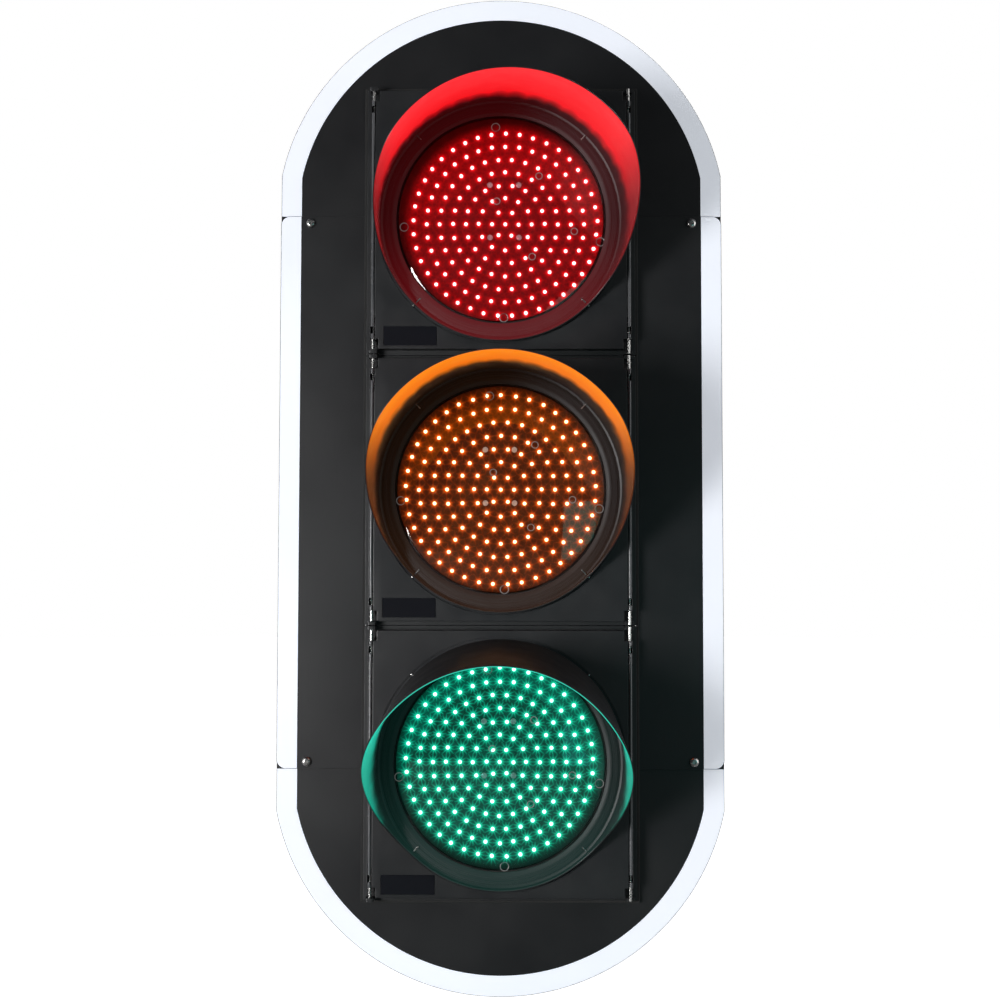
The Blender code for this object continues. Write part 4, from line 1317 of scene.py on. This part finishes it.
def build_visor(aspect):
    """A cutaway visor with a stepped flange, and marks for where the painted light of the lamp falls on its
    inside.
    """
    fall = math.tan(math.radians(VISOR_DROOP[aspect]))
    drift = math.tan(math.radians(VISOR_LEAN[aspect]))
    back = high_corner(f"visor_{aspect}").y
    z = LENS_Z[aspect]
    steps = sizes().hood_steps
    rim_light = 0.44 if aspect == "green" else 0.5
    rows_out = 28
    bm = bmesh.new()
    turn_mark = bm.verts.layers.float.new("turn")
    reach_mark = bm.verts.layers.float.new("reach")
    inside_mark = bm.verts.layers.float.new("inside")
    rise_mark = bm.verts.layers.float.new("rise")
    rings = []
    flange = (
        (0.1555, 0.0026), (0.1530, 0.0016), (0.1526, 0.0016), (0.1522, 0.0026), (0.1500, 0.0028),
        (0.1496, 0.0036), (0.1466, 0.0036), (0.1462, 0.0028), (0.1430, 0.0028), (0.1426, 0.0035),
        (0.1396, 0.0035), (0.1385, 0.0026), (0.1364, 0.0025), (VISOR_LIP, 0.0020), (VISOR_LIP, 0.0),
    )
    for step in range(steps):
        turn = math.tau * step / steps - math.pi / 2
        from_top = abs((math.degrees(turn) + 90) % 360 - 180)
        length = VISOR_LENGTH * soft_reach(from_top)
        rim = VISOR_BASE + VISOR_FLARE * length / VISOR_LENGTH
        column = [(VISOR_BASE, 0.0, 0)]
        for row in range(1, rows_out):
            part = row / rows_out
            column.append((VISOR_BASE + (rim - VISOR_BASE) * part, length * part, 0))
        column += [
            (rim, length - 0.0006, 0),
            (rim - 0.0004, length - 0.0001, 0),
            (rim - 0.00125, length, rim_light),
            (rim - VISOR_WALL + 0.0004, length - 0.0001, 2 * rim_light),
            (rim - VISOR_WALL, length - 0.0006, 1),
        ]
        inner_base = VISOR_BASE - VISOR_WALL
        for row in range(1, rows_out):
            part = 1 - row / rows_out
            column.append((inner_base + (rim - VISOR_BASE) * part, 0.0026 + (length - 0.0032) * part, 1))
        column += [(radius, out, 1) for radius, out in flange]
        ring = []
        for radius, out, inside in column:
            u = radius * math.cos(turn) + out * drift
            v = z + radius * math.sin(turn) - out * fall
            vert = bm.verts.new((u, back - out, v))
            vert[turn_mark] = turn
            vert[rise_mark] = math.sin(turn)
            vert[reach_mark] = out
            vert[inside_mark] = inside
            ring.append(vert)
        rings.append(ring)
    skin(bm, rings + rings[:1])
    body = f"door_{aspect}"
    node = f"visor_{aspect}"
    finished(f"visor_hood_{aspect}", bm, node, body, [node], 42.0)
    bm = bmesh.new()
    front = back - 0.0036
    for turn in CLIP_TURNS:
        tab = shifted(spoke(turn, 0.1462, 0.1548, 0.0007), 0, z)
        plate(bm, "Y", tab, front - 0.0009, front + 0.0012, edge=0.0002)
    finished(f"visor_clips_{aspect}", bm, "steel", body)
    bm = bmesh.new()
    for turn in CLIP_TURNS:
        angle = math.radians(turn)
        centre = (STUD_RADIUS * math.cos(angle), z + STUD_RADIUS * math.sin(angle))
        rod(bm, 0.0013, DOOR_FRONT - 0.0012, DOOR_FRONT + SEAT_DEPTH - 0.0001, "Y", centre, 16, 0.0005)
    finished(f"visor_studs_{aspect}", bm, "steel", body)


# ---------------------------------------------------------------- lamp modules


LENS_REACH = LENS_RIM - LENS_ROLL
CROWN_Y = low_corner("lens_red").y
CROWN_RIM_Y = -0.0681
CROWN_HEIGHT = CROWN_RIM_Y - CROWN_Y
CROWN_BOW = (LENS_REACH**2 + CROWN_HEIGHT**2) / (2 * CROWN_HEIGHT)


def crown(radius, lowering=0.0):
    """The level of the crown's face at a radius, set back by lowering."""
    return CROWN_Y + CROWN_BOW - math.sqrt(CROWN_BOW**2 - radius**2) + lowering


def build_lens(aspect):
    """The tinted lens: a shallow crown that rolls over into a dark skirt, its marks and its gasket."""
    node = f"lens_{aspect}"
    back_y = high_corner(node).y
    flange_y = DOOR_FRONT + SEAT_DEPTH + GAP
    z = LENS_Z[aspect]
    roll = LENS_ROLL
    reach = LENS_REACH
    wall = 0.003
    rows = 16
    profile = [(reach * row / rows, crown(reach * row / rows)) for row in range(rows + 1)]
    start = crown(reach)
    for row in range(1, 5):
        angle = math.pi / 2 * row / 4
        profile.append((reach + roll * math.sin(angle), start + (flange_y - start) * (1 - math.cos(angle))))
    profile += [(LENS_RADIUS, flange_y), (LENS_RADIUS, back_y), (LENS_RADIUS - wall, back_y)]
    profile += [(LENS_RADIUS - wall, flange_y + wall), (reach - 0.0012, flange_y + wall)]
    inner = reach - 0.0022
    profile += [(inner * row / rows, crown(inner * row / rows, wall)) for row in reversed(range(rows + 1))]
    bm = bmesh.new()
    turned(bm, profile, "Y", (0.0, z), 128, closed=False)
    for face in bm.faces:
        centre = face.calc_center_median()
        face.material_index = int(math.hypot(centre.x, centre.z - z) > LENS_RIM - 0.0028)
    lens = finished(f"tinted_lens_{aspect}", bm, node, f"door_{aspect}", [node], 50.0, False)
    lens.data.materials.append(FINISHES["skirt"])
    bm = bmesh.new()
    side = DIODE_OFFSET[aspect][0]
    turn = math.radians(MODULE_TURN[aspect])
    for place_u, place_v, radius in MOULD_RINGS:
        du = place_u * math.cos(turn) - place_v * math.sin(turn) + side * 0.6
        dv = place_u * math.sin(turn) + place_v * math.cos(turn)
        level = crown(math.hypot(du, dv)) - 0.0001
        torus(bm, (du, z + dv), level, radius, 0.00055)
    finished(f"mould_marks_{aspect}", bm, "mark", f"door_{aspect}")
    low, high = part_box(f"lens_gasket_{aspect}")
    bm = bmesh.new()
    near, far, bevel = LENS_RADIUS + GAP, high.x, 0.0004
    section = [
        (near, low.y + bevel),
        (near + bevel, low.y),
        (far - bevel, low.y),
        (far, low.y + bevel),
        (far, high.y - bevel),
        (far - bevel, high.y),
        (near + bevel, high.y),
        (near, high.y - bevel),
    ]
    turned(bm, section, "Y", (0.0, z), 128)
    node = f"lens_gasket_{aspect}"
    finished(f"ring_gasket_{aspect}", bm, "rubber", f"door_{aspect}", [node])


def diode_places(aspect):
    """Where the diodes sit: one in the middle, six full rings and an outer ring."""
    side, height = DIODE_OFFSET[aspect]
    pitch = DIODE_PITCH[aspect]
    z = LENS_Z[aspect] + height
    places = [(side, z)]
    wander = random.Random(f"diodes {aspect}")
    for ring in range(1, FULL_RINGS + 2):
        count = 6 * ring if ring <= FULL_RINGS else OUTER_RING_COUNT
        start = 0.0 if ring <= FULL_RINGS else OUTER_RING_TURN
        for step in range(count):
            angle = math.tau * step / count + start
            du, dv = wander.uniform(-0.0006, 0.0006), wander.uniform(-0.0006, 0.0006)
            u = side + ring * pitch * math.cos(angle) + du
            v = z + ring * pitch * math.sin(angle) + dv
            places.append((u, v))
    return places


def build_lamp_board(aspect):
    """The lit plate with its diodes and four screws."""
    body = f"door_{aspect}"
    z = LENS_Z[aspect]
    low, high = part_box(f"led_board_{aspect}")
    bm = bmesh.new()
    plate(bm, "Y", circle(LAMP_BOARD_RADIUS, (0.0, z), 96), low.y, high.y, edge=0.0002)
    finished(f"lamp_plate_{aspect}", bm, f"plate_{aspect}", body, [f"led_board_{aspect}"])
    bm = bmesh.new()
    for centre in diode_places(aspect):
        dome(bm, centre, low.y + 0.0001, sizes().diode_radius)
    finished(f"diodes_{aspect}", bm, f"diode_{aspect}", body, weighted=False)
    side, height = DIODE_OFFSET[aspect]
    bm = bmesh.new()
    for du, dv in MODULE_SCREWS:
        centre = (side + du, z + height + dv)
        socket_screw(bm, centre, low.y - 0.0002, 0.0036, 0.0022, 0.0014, 0.0012)
    finished(f"module_screws_{aspect}", bm, f"screw_{aspect}", body)


def build_module_case(aspect):
    """The bowl behind the lens with ribs, a power supply lid and a cable gland."""
    body = f"door_{aspect}"
    node = f"module_case_{aspect}"
    low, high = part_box(node)
    z = LENS_Z[aspect]
    wall = 0.0025
    shoulder = low.y + 0.0186
    back = high.y
    rim = high.x
    small = 0.105
    profile = [
        (0.0, back),
        (small - 0.003, back),
        (small - 0.001, back - 0.0006),
        (small, back - 0.002),
        (rim - 0.002, shoulder + 0.0015),
        (rim - 0.0005, shoulder + 0.0002),
        (rim, shoulder - 0.0016),
        (rim, low.y + 0.0005),
        (rim - 0.0005, low.y),
        (rim - wall + 0.0004, low.y),
        (rim - wall, low.y + 0.0004),
        (rim - wall, shoulder - 0.002),
        (small - wall, back - wall - 0.001),
        (small - wall - 0.002, back - wall),
        (0.0, back - wall),
    ]
    bm = bmesh.new()
    turned(bm, profile, "Y", (0.0, z), 96, closed=False)
    lid = rounded(rectangle(0.052, 0.034, (0.0, z)), 0.006, 5)
    plate(bm, "Y", lid, back - 0.001, back + 0.0028, edge=0.0008, ease_low=False)
    for turn in range(0, 360, 30):
        rib = shifted(spoke(turn, 0.070, 0.101, 0.0011), 0, z)
        plate(bm, "Y", rib, back - 0.001, back + 0.0018, edge=0.0004, ease_low=False)
    rod(bm, 0.0065, back - 0.001, back + 0.0032, "Y", (0.0, z - 0.052), 28, 0.0008)
    finished(f"module_bowl_{aspect}", bm, "module", body, [node])
    bm = bmesh.new()
    for side in (-1, 1):
        for end in (-1, 1):
            centre = (side * 0.046, z + end * 0.028)
            socket_screw(bm, centre, back + 0.0028, 0.0032, 0.0018, 0.0014, 0.0020, direction=1)
    finished(f"module_lid_screws_{aspect}", bm, "steel", body)


# ---------------------------------------------------------------- pins


def build_pins(aspect):
    """Hinge pins and latch pins with rounded ends, retaining rings and thumb pegs."""
    z = LENS_Z[aspect]
    for end_name, end in ENDS:
        edge_z = z + end * DOOR_HALF
        for kind, side in (("hinge", -1), ("latch", 1)):
            node = f"{kind}_pin_{aspect}_{end_name}"
            low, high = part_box(node)
            bm = bmesh.new()
            rod(bm, 0.0020, low.z, high.z, "Z", (side * PIN_X, PIN_Y), 24, 0.0005)
            inner_ring = 0.0033 if kind == "hinge" else 0.0025
            for depth, rim in ((0.0052, 0.0033), (0.0112, inner_ring)):
                level = edge_z - end * depth
                ring = [
                    (0.0019, level - 0.0004), (rim - 0.0002, level - 0.0004), (rim, level - 0.0002),
                    (rim, level + 0.0002), (rim - 0.0002, level + 0.0004), (0.0019, level + 0.0004),
                ]
                turned(bm, ring, "Z", (side * PIN_X, PIN_Y), 24)
            if kind == "latch":
                rod(bm, 0.0011, low.y, PIN_Y, "Y", (side * PIN_X, edge_z - end * 0.0215), 16, 0.0003)
            body = f"door_{aspect}" if kind == "hinge" else f"latch_{aspect}_{end_name}"
            finished(f"{kind}_rod_{aspect}_{end_name}", bm, "steel", body, [node])


# ---------------------------------------------------------------- backing board


def board_end_line(distance, low):
    """The top half of the board's outline from its right side over the arc to its left side."""
    half = BOARD_HALF - distance
    radius = BOARD_END_Z - BOARD_ARC_CENTRE - distance
    start = math.degrees(math.acos(half / radius))
    curve = arc((0.0, BOARD_ARC_CENTRE), radius, start, 180 - start, 96)
    return [(half, low)] + curve + [(-half, low)]


def upended(outline, end):
    return [(u, BOARD_Z + end * v) for u, v in outline]


def strip_line(side, inner, outer, half):
    """A side strip or its film, with two round corners on its outer edge."""
    corner = 0.011
    points = (
        [(inner, half), (inner, -half)]
        + arc((outer - corner, corner - half), corner, -90, 0, 8)
        + arc((outer - corner, half - corner), corner, 0, 90, 8)
    )
    return [(side * u, BOARD_Z + v) for u, v in points]


def build_board():
    """Two end panels, two side strips in front of them, and the white film on their outer edges."""
    edge = sizes().sheet_edge
    margin = sizes().film_margin
    for end_name, end in ENDS:
        bm = bmesh.new()
        inner = [
            (-STRIP_INNER, BOARD_LEG_END), (-STRIP_INNER, BOARD_INNER_HEIGHT),
            (STRIP_INNER, BOARD_INNER_HEIGHT), (STRIP_INNER, BOARD_LEG_END),
        ]
        outline = upended(board_end_line(0.0, BOARD_LEG_END) + inner, end)
        holes = [circle(0.0034, (side * SCREW_X, BOARD_Z + end * SCREW_Z), 24) for side in (-1, 1)]
        plate(bm, "Y", outline, END_FRONT, END_BACK, holes=holes, edge=edge)
        finished(f"board_panel_{end_name}", bm, "board", "head", [f"board_{end_name}"])
        low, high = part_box(f"border_{end_name}")
        start = STRIP_HALF + GAP
        outline = board_end_line(margin, start) + list(reversed(board_end_line(BORDER_WIDTH, start)))
        bm = bmesh.new()
        plate(bm, "Y", upended(outline, end), low.y, high.y, edge=0.0001, ease_high=False)
        finished(f"white_film_{end_name}", bm, "film", "head", [f"border_{end_name}"])
    for side_name, side in SIDES:
        bm = bmesh.new()
        holes = [circle(0.0034, (side * SCREW_X, BOARD_Z + end * SCREW_Z), 24) for end in (-1, 1)]
        outline = strip_line(side, STRIP_INNER, BOARD_HALF, STRIP_HALF)
        plate(bm, "Y", outline, STRIP_FRONT, STRIP_BACK, holes=holes, edge=edge)
        finished(f"board_strip_{side_name}", bm, "board", "head", [f"board_{side_name}"])
        low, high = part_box(f"border_{side_name}")
        outline = strip_line(side, BOARD_HALF - BORDER_WIDTH, BOARD_HALF - margin, STRIP_HALF - margin)
        bm = bmesh.new()
        plate(bm, "Y", outline, low.y, high.y, edge=0.0001, ease_high=False)
        finished(f"white_film_{side_name}", bm, "film", "head", [f"border_{side_name}"])


def build_edging():
    """Rubber edging that closes the slit between the board and the casings."""
    bm = bmesh.new()
    outer = rounded(rectangle(STRIP_INNER + 0.0016, BOARD_INNER_HEIGHT + 0.0016, (0.0, BOARD_Z)), 0.002, 3)
    hole = rectangle(CASING_HALF + 0.0002, CASING_TOP - BOARD_Z + 0.0002, (0.0, BOARD_Z))
    plate(bm, "Y", outer, STRIP_FRONT - 0.0008, END_BACK + 0.0002, holes=(hole,), edge=0.0006)
    finished("board_edging", bm, "rubber", "head")


def build_brackets():
    """Bent arms with their side bolts, and the board screws with washers and nuts."""
    for end_name, end in ENDS:
        height = BOARD_Z + end * SCREW_Z
        for side_name, side in SIDES:
            node = f"board_arm_{end_name}_{side_name}"
            low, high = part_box(node)
            near = min(abs(low.x), abs(high.x))
            far = max(abs(low.x), abs(high.x))
            thick = 0.003
            plan = [
                (near, low.y), (far, low.y), (far, low.y + thick), (near + thick, low.y + thick),
                (near + thick, high.y), (near, high.y),
            ]
            bends = [0.0035, 0.0008, 0.0008, 0.0012, 0.0008, 0.0008]
            plan = rounded([(side * u, v) for u, v in plan], bends, 4)
            bm = bmesh.new()
            plate(bm, "Z", plan, low.z, high.z, edge=0.0004)
            finished(f"bent_arm_{end_name}_{side_name}", bm, "zinc", "head", [node])
            bm = bmesh.new()
            face = side * (near + thick)
            for offset in (-0.008, 0.008):
                centre = (-0.018, height + offset)
                span = sorted((face - side * 0.0005, face + side * 0.0012))
                rod(bm, 0.0062, span[0], span[1], "X", centre, 32, 0.0003)
                span = sorted((face + side * 0.0011, face + side * 0.0049))
                hexagon_head(bm, 0.0057, span[0], span[1], "X", centre)
            finished(f"side_bolts_{end_name}_{side_name}", bm, "zinc", "head")
            behind = low.y + thick
            node = f"board_screw_{end_name}_{side_name}"
            centre = (side * SCREW_X, height)
            bm = bmesh.new()
            socket_screw(bm, centre, low_corner(node).y + 0.0034, 0.00625, 0.0034, 0.0030, 0.0150)
            finished(f"socket_screw_{end_name}_{side_name}", bm, "steel", "head", [node])
            bm = bmesh.new()
            washer = circle(0.0068, centre, 32)
            hole = circle(0.0031, centre, 32)
            plate(bm, "Y", washer, behind + 0.0001, behind + 0.0011, holes=(hole,), edge=0.0002)
            hexagon_head(bm, 0.0058, behind + 0.0012, behind + 0.0048, "Y", centre, 0.0029)
            finished(f"nut_and_washer_{end_name}_{side_name}", bm, "zinc", "head")


# ---------------------------------------------------------------- entries and wiring


def serrated_ring(bm, low, high, upwards):
    """A flat ring whose outer face carries radial teeth."""
    teeth = sizes().ring_teeth
    inner_radius, outer_radius = 0.0325, 0.0420
    base = low if upwards else high
    crest = high if upwards else low
    valley = crest + (base - crest) * 0.45
    rings = []
    section = ((inner_radius, False), (inner_radius, True), (outer_radius, True), (outer_radius, False))
    for radius, toothed in section:
        points = []
        for step in range(teeth * 2):
            angle = math.tau * step / (teeth * 2)
            level = base if not toothed else (crest if step % 2 else valley)
            points.append((radius * math.cos(angle), radius * math.sin(angle), level))
        rings.append(ring_of(bm, points))
    skin(bm, rings + rings[:1])


def build_entries():
    """Couplers, locknuts, the plug on top, the serrated rings round both entries and the terminals."""
    for lower, upper in zip(ASPECTS, ASPECTS[1:]):
        names = f"{lower}_{upper}"
        node = f"section_coupler_{names}"
        low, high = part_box(node)
        outer = high.x
        inner = outer - 0.005
        profile = [(inner, low.z), (outer - 0.0008, low.z)]
        turns = 14
        pitch = (high.z - low.z) / turns
        for turn in range(turns):
            level = low.z + pitch * turn
            profile += [(outer, level + pitch * 0.35), (outer - 0.0007, level + pitch * 0.85)]
        profile += [(outer - 0.0008, high.z), (inner, high.z)]
        bm = bmesh.new()
        turned(bm, profile, "Z", (0.0, 0.0), 64)
        finished(f"threaded_coupler_{names}", bm, "zinc", "head", [node])
        for level_name in ("upper", "lower"):
            node = f"coupler_locknut_{names}_{level_name}"
            low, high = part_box(node)
            bm = bmesh.new()
            hexagon_head(bm, 0.0340, low.z, high.z, "Z", (0.0, 0.0), outer + GAP)
            finished(f"locknut_{names}_{level_name}", bm, "zinc", "head", [node])
    low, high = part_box("entry_cap_top")
    cap = high.x
    head_low = CASING_TOP + GAP
    profile = [
        (0.0, high.z),
        (0.012, high.z),
        (0.0126, high.z - 0.0010),
        (cap - 0.0040, high.z - 0.0010),
        (cap - 0.0030, high.z - 0.0012),
        (cap - 0.0008, high.z - 0.0026),
        (cap, head_low + 0.0010),
        (cap - 0.0004, head_low),
        (0.0255, head_low),
        (0.0255, low.z + 0.0008),
        (0.0247, low.z),
        (0.0, low.z),
    ]
    bm = bmesh.new()
    turned(bm, profile, "Z", (0.0, 0.0), 96, closed=False)
    finished("entry_plug_top", bm, "casing", "head", ["entry_cap_top"])
    bm = bmesh.new()
    serrated_ring(bm, CASING_TOP - 0.0002, CASING_TOP + 0.0024, True)
    finished("serrated_ring_top", bm, "casing", "head", weighted=False, sharp=20.0)
    bm = bmesh.new()
    bottom = low_corner("casing_green").z
    serrated_ring(bm, bottom - 0.0024, bottom + 0.0002, False)
    finished("serrated_ring_bottom", bm, "casing", "head", weighted=False, sharp=20.0)
    build_terminals()


def build_terminals():
    """The terminal rail with its barriers, clamps and screws."""
    low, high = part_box("terminal_block")
    bays = 6
    pitch = (high.x - low.x) / bays
    floor_y = low.y + 0.006
    bm = bmesh.new()
    half_height = (high.z - low.z) / 2
    level = middle("terminal_block").z
    base = rounded(rectangle((high.x - low.x) / 2, half_height, (0.0, level)), 0.001, 3)
    plate(bm, "Y", base, floor_y, high.y, edge=0.0004)
    for bay in range(bays + 1):
        x = min(max(low.x + pitch * bay, low.x + 0.0013), high.x - 0.0013)
        fin = rectangle(0.0012, half_height - 0.0004, (x, level))
        plate(bm, "Y", fin, low.y, floor_y + 0.0005, edge=0.0004, ease_high=False)
    finished("terminal_rail", bm, "terminal", "head", ["terminal_block"])
    bm = bmesh.new()
    for bay in range(bays):
        x = low.x + pitch * (bay + 0.5)
        clamp = rounded(rectangle(0.0050, 0.0085, (x, level)), 0.001, 3)
        plate(bm, "Y", clamp, floor_y - 0.0008, floor_y + 0.0004, edge=0.0002)
        for offset in (-0.0055, 0.0055):
            centre = (x, level + offset)
            socket_screw(bm, centre, floor_y - 0.0008, 0.0028, 0.0020, 0.0014, 0.0010)
    finished("terminal_screws", bm, "zinc", "head")


# ---------------------------------------------------------------- stage


WHITE = (1.0, 1.0, 1.0)


def add_panel_light(name, place, aim, spans, power, colour, roll):
    """A soft rectangular light that faces a point."""
    lamp = bpy.data.lights.new(name, "AREA")
    lamp.shape = "RECTANGLE"
    lamp.size, lamp.size_y = spans
    lamp.energy = power
    lamp.color = colour
    holder = bpy.data.objects.new(name, lamp)
    holder.location = place
    towards = Vector(aim) - Vector(place)
    facing = towards.to_track_quat("-Z", "Y").to_matrix().to_4x4()
    holder.rotation_euler = (facing @ Matrix.Rotation(math.radians(roll), 4, "Z")).to_euler()
    bpy.context.scene.collection.objects.link(holder)


def build_floor():
    """A wide pale floor under the head."""
    settings = bpy.context.scene.signal_stage
    level = low_corner("board_bottom").z - settings.floor_drop
    bm = bmesh.new()
    plate(bm, "Z", circle(14.0, sides=128), level - 0.02, level, edge=0.004)
    bmesh.ops.recalc_face_normals(bm, faces=bm.faces[:])
    mesh = bpy.data.meshes.new("floor")
    bm.to_mesh(mesh)
    bm.free()
    floor = bpy.data.objects.new("floor", mesh)
    bpy.context.scene.collection.objects.link(floor)
    material, graph, shader = new_finish("Pale floor")
    tone = graph.noise(graph.rest_place(), 3.0, 3.0, 0.5)
    graph.feed(shader["Base Color"], graph.blend(tone, grey(0.115), grey(0.125)))
    shader["Roughness"].default_value = 0.9
    shader["Specular IOR Level"].default_value = 0.1
    shader["Emission Color"].default_value = (1.0, 1.0, 1.0, 1.0)
    seen = graph.node("ShaderNodeLightPath").outputs["Is Camera Ray"]
    graph.feed(shader["Emission Strength"], graph.ramp(seen, 0.0, 1.0, 0.03, 1.0))
    mesh.materials.append(material)


def build_world():
    """A pale surround that is plain white to look at and dimmer as a light."""
    world = bpy.data.worlds.new("Pale surround")
    world.use_nodes = True
    graph = Graph(world.node_tree)
    background = world.node_tree.nodes["Background"]
    direction = graph.node("ShaderNodeTexCoord").outputs["Generated"]
    height = graph.node("ShaderNodeSeparateXYZ", {0: direction}).outputs["Z"]
    near_floor, overhead = (0.040, 0.040, 0.044, 1.0), (0.030, 0.031, 0.036, 1.0)
    soft = graph.blend(graph.smooth(height, -0.2, 0.9), near_floor, overhead)
    seen = graph.node("ShaderNodeLightPath").outputs["Is Camera Ray"]
    graph.feed(background.inputs["Color"], graph.blend(seen, soft, (1.0, 1.0, 1.0, 1.0)))
    background.inputs["Strength"].default_value = 1.0
    bpy.context.scene.world = world


def build_camera():
    settings = bpy.context.scene.signal_stage
    data = bpy.data.cameras.new("Camera")
    data.lens = settings.camera_lens
    data.sensor_width = 36.0
    camera = bpy.data.objects.new("Camera", data)
    camera.location = settings.camera_place
    pitch, roll, yaw = (math.radians(value) for value in settings.camera_turn)
    forward = Vector((-math.sin(yaw) * math.cos(pitch), math.cos(yaw) * math.cos(pitch), math.sin(pitch)))
    turn = forward.to_track_quat("-Z", "Y").to_matrix().to_4x4()
    camera.rotation_euler = (turn @ Matrix.Rotation(-roll, 4, "Z")).to_euler()
    bpy.context.scene.collection.objects.link(camera)
    bpy.context.scene.camera = camera


# Place, aim, width and height, power, colour and roll of each light
PANELS = (
    ("Upper panel", (1.85, -2.40, 2.15), (0.0, 0.0, 0.8), (1.9, 1.6), 5.0, WHITE, -20.0),
    ("Left panel", (-1.95, -2.50, 0.20), (0.0, 0.0, 0.35), (0.9, 1.0), 98.0, WHITE, 0.0),
    ("Right panel", (2.40, -0.90, 0.80), (0.0, 0.0, 0.5), (1.2, 2.4), 25.0, WHITE, 0.0),
    ("Far left panel", (-2.50, -0.80, 0.90), (0.0, 0.0, 0.5), (1.0, 2.4), 5.0, WHITE, 0.0),
    ("Cool fill", (1.15, -2.35, 0.05), (0.0, 0.0, 0.4), (1.0, 1.0), 2.2, (0.10, 1.0, 0.95), 0.0),
    ("Back panel", (0.6, 2.6, 2.2), (0.0, 0.0, 0.5), (2.0, 2.0), 170.0, WHITE, 0.0),
)


def build_stage():
    build_floor()
    build_world()
    build_camera()
    for panel in PANELS:
        add_panel_light(*panel)
    scene = bpy.context.scene
    scene.view_settings.view_transform = "Standard"
    scene.view_settings.look = "None"


# ---------------------------------------------------------------- operators


class BuildStep:
    """What the steps share: each runs its builders, once in all or once for every aspect."""

    builders = ()
    for_each_aspect = False

    def execute(self, context):
        if self.for_each_aspect:
            for aspect in ASPECTS:
                for build in self.builders:
                    build(aspect)
        else:
            for build in self.builders:
                build()
        return {"FINISHED"}


class SIGNAL_OT_finishes(BuildStep, bpy.types.Operator):
    """Make every material and shared shader group"""

    bl_idname = "signal.finishes"
    bl_label = "Finishes"
    builders = (make_finishes,)


class SIGNAL_OT_casings(BuildStep, bpy.types.Operator):
    """Build the three moulded casings"""

    bl_idname = "signal.casings"
    bl_label = "Casings"
    builders = (build_casing,)
    for_each_aspect = True


class SIGNAL_OT_doors(BuildStep, bpy.types.Operator):
    """Build the three doors with their name plates and seals"""

    bl_idname = "signal.doors"
    bl_label = "Doors"
    builders = (build_door, build_seal)
    for_each_aspect = True


class SIGNAL_OT_visors(BuildStep, bpy.types.Operator):
    """Build the three cutaway visors with their clips"""

    bl_idname = "signal.visors"
    bl_label = "Visors"
    builders = (build_visor,)
    for_each_aspect = True


class SIGNAL_OT_modules(BuildStep, bpy.types.Operator):
    """Build the lamp modules: lenses, gaskets, lit plates, diodes and bowls"""

    bl_idname = "signal.modules"
    bl_label = "Lamp modules"
    builders = (build_lens, build_lamp_board, build_module_case)
    for_each_aspect = True


class SIGNAL_OT_pins(BuildStep, bpy.types.Operator):
    """Build the hinge pins and the latch pins"""

    bl_idname = "signal.pins"
    bl_label = "Pins"
    builders = (build_pins,)
    for_each_aspect = True


class SIGNAL_OT_board(BuildStep, bpy.types.Operator):
    """Build the backing board, its film, brackets and screws"""

    bl_idname = "signal.board"
    bl_label = "Backing board"
    builders = (build_board, build_edging, build_brackets)


class SIGNAL_OT_entries(BuildStep, bpy.types.Operator):
    """Build the couplers, locknuts, plug, serrated rings and terminals"""

    bl_idname = "signal.entries"
    bl_label = "Entries and wiring"
    builders = (build_entries,)


class SIGNAL_OT_stage(BuildStep, bpy.types.Operator):
    """Set up the floor, the surround, the lights and the camera"""

    bl_idname = "signal.stage"
    bl_label = "Stage"
    builders = (build_stage,)


STEPS = (
    SIGNAL_OT_finishes,
    SIGNAL_OT_casings,
    SIGNAL_OT_doors,
    SIGNAL_OT_visors,
    SIGNAL_OT_modules,
    SIGNAL_OT_pins,
    SIGNAL_OT_board,
    SIGNAL_OT_entries,
    SIGNAL_OT_stage,
)


class SIGNAL_PT_panel(bpy.types.Panel):
    """Lists the steps that build the signal head"""

    bl_label = "Signal Head"
    bl_idname = "SIGNAL_PT_panel"
    bl_space_type = "VIEW_3D"
    bl_region_type = "UI"
    bl_category = "Signal Head"

    def draw(self, context):
        scene = context.scene
        for group in (scene.signal_sizes, scene.signal_colours, scene.signal_stage):
            box = self.layout.box()
            for key in group.bl_rna.properties.keys():
                if key not in ("rna_type", "name"):
                    box.prop(group, key)
        for step in STEPS:
            self.layout.operator(step.bl_idname)


CLASSES = (SignalSizes, SignalColours, SignalStage, *STEPS, SIGNAL_PT_panel)


def register():
    for cls in CLASSES:
        bpy.utils.register_class(cls)
    bpy.types.Scene.signal_sizes = PointerProperty(type=SignalSizes)
    bpy.types.Scene.signal_colours = PointerProperty(type=SignalColours)
    bpy.types.Scene.signal_stage = PointerProperty(type=SignalStage)


def unregister():
    del bpy.types.Scene.signal_stage
    del bpy.types.Scene.signal_colours
    del bpy.types.Scene.signal_sizes
    for cls in reversed(CLASSES):
        bpy.utils.unregister_class(cls)


def main():
    register()
    for step in STEPS:
        group, name = step.bl_idname.split(".")
        getattr(getattr(bpy.ops, group), name)()


if __name__ == "__main__":
    main()
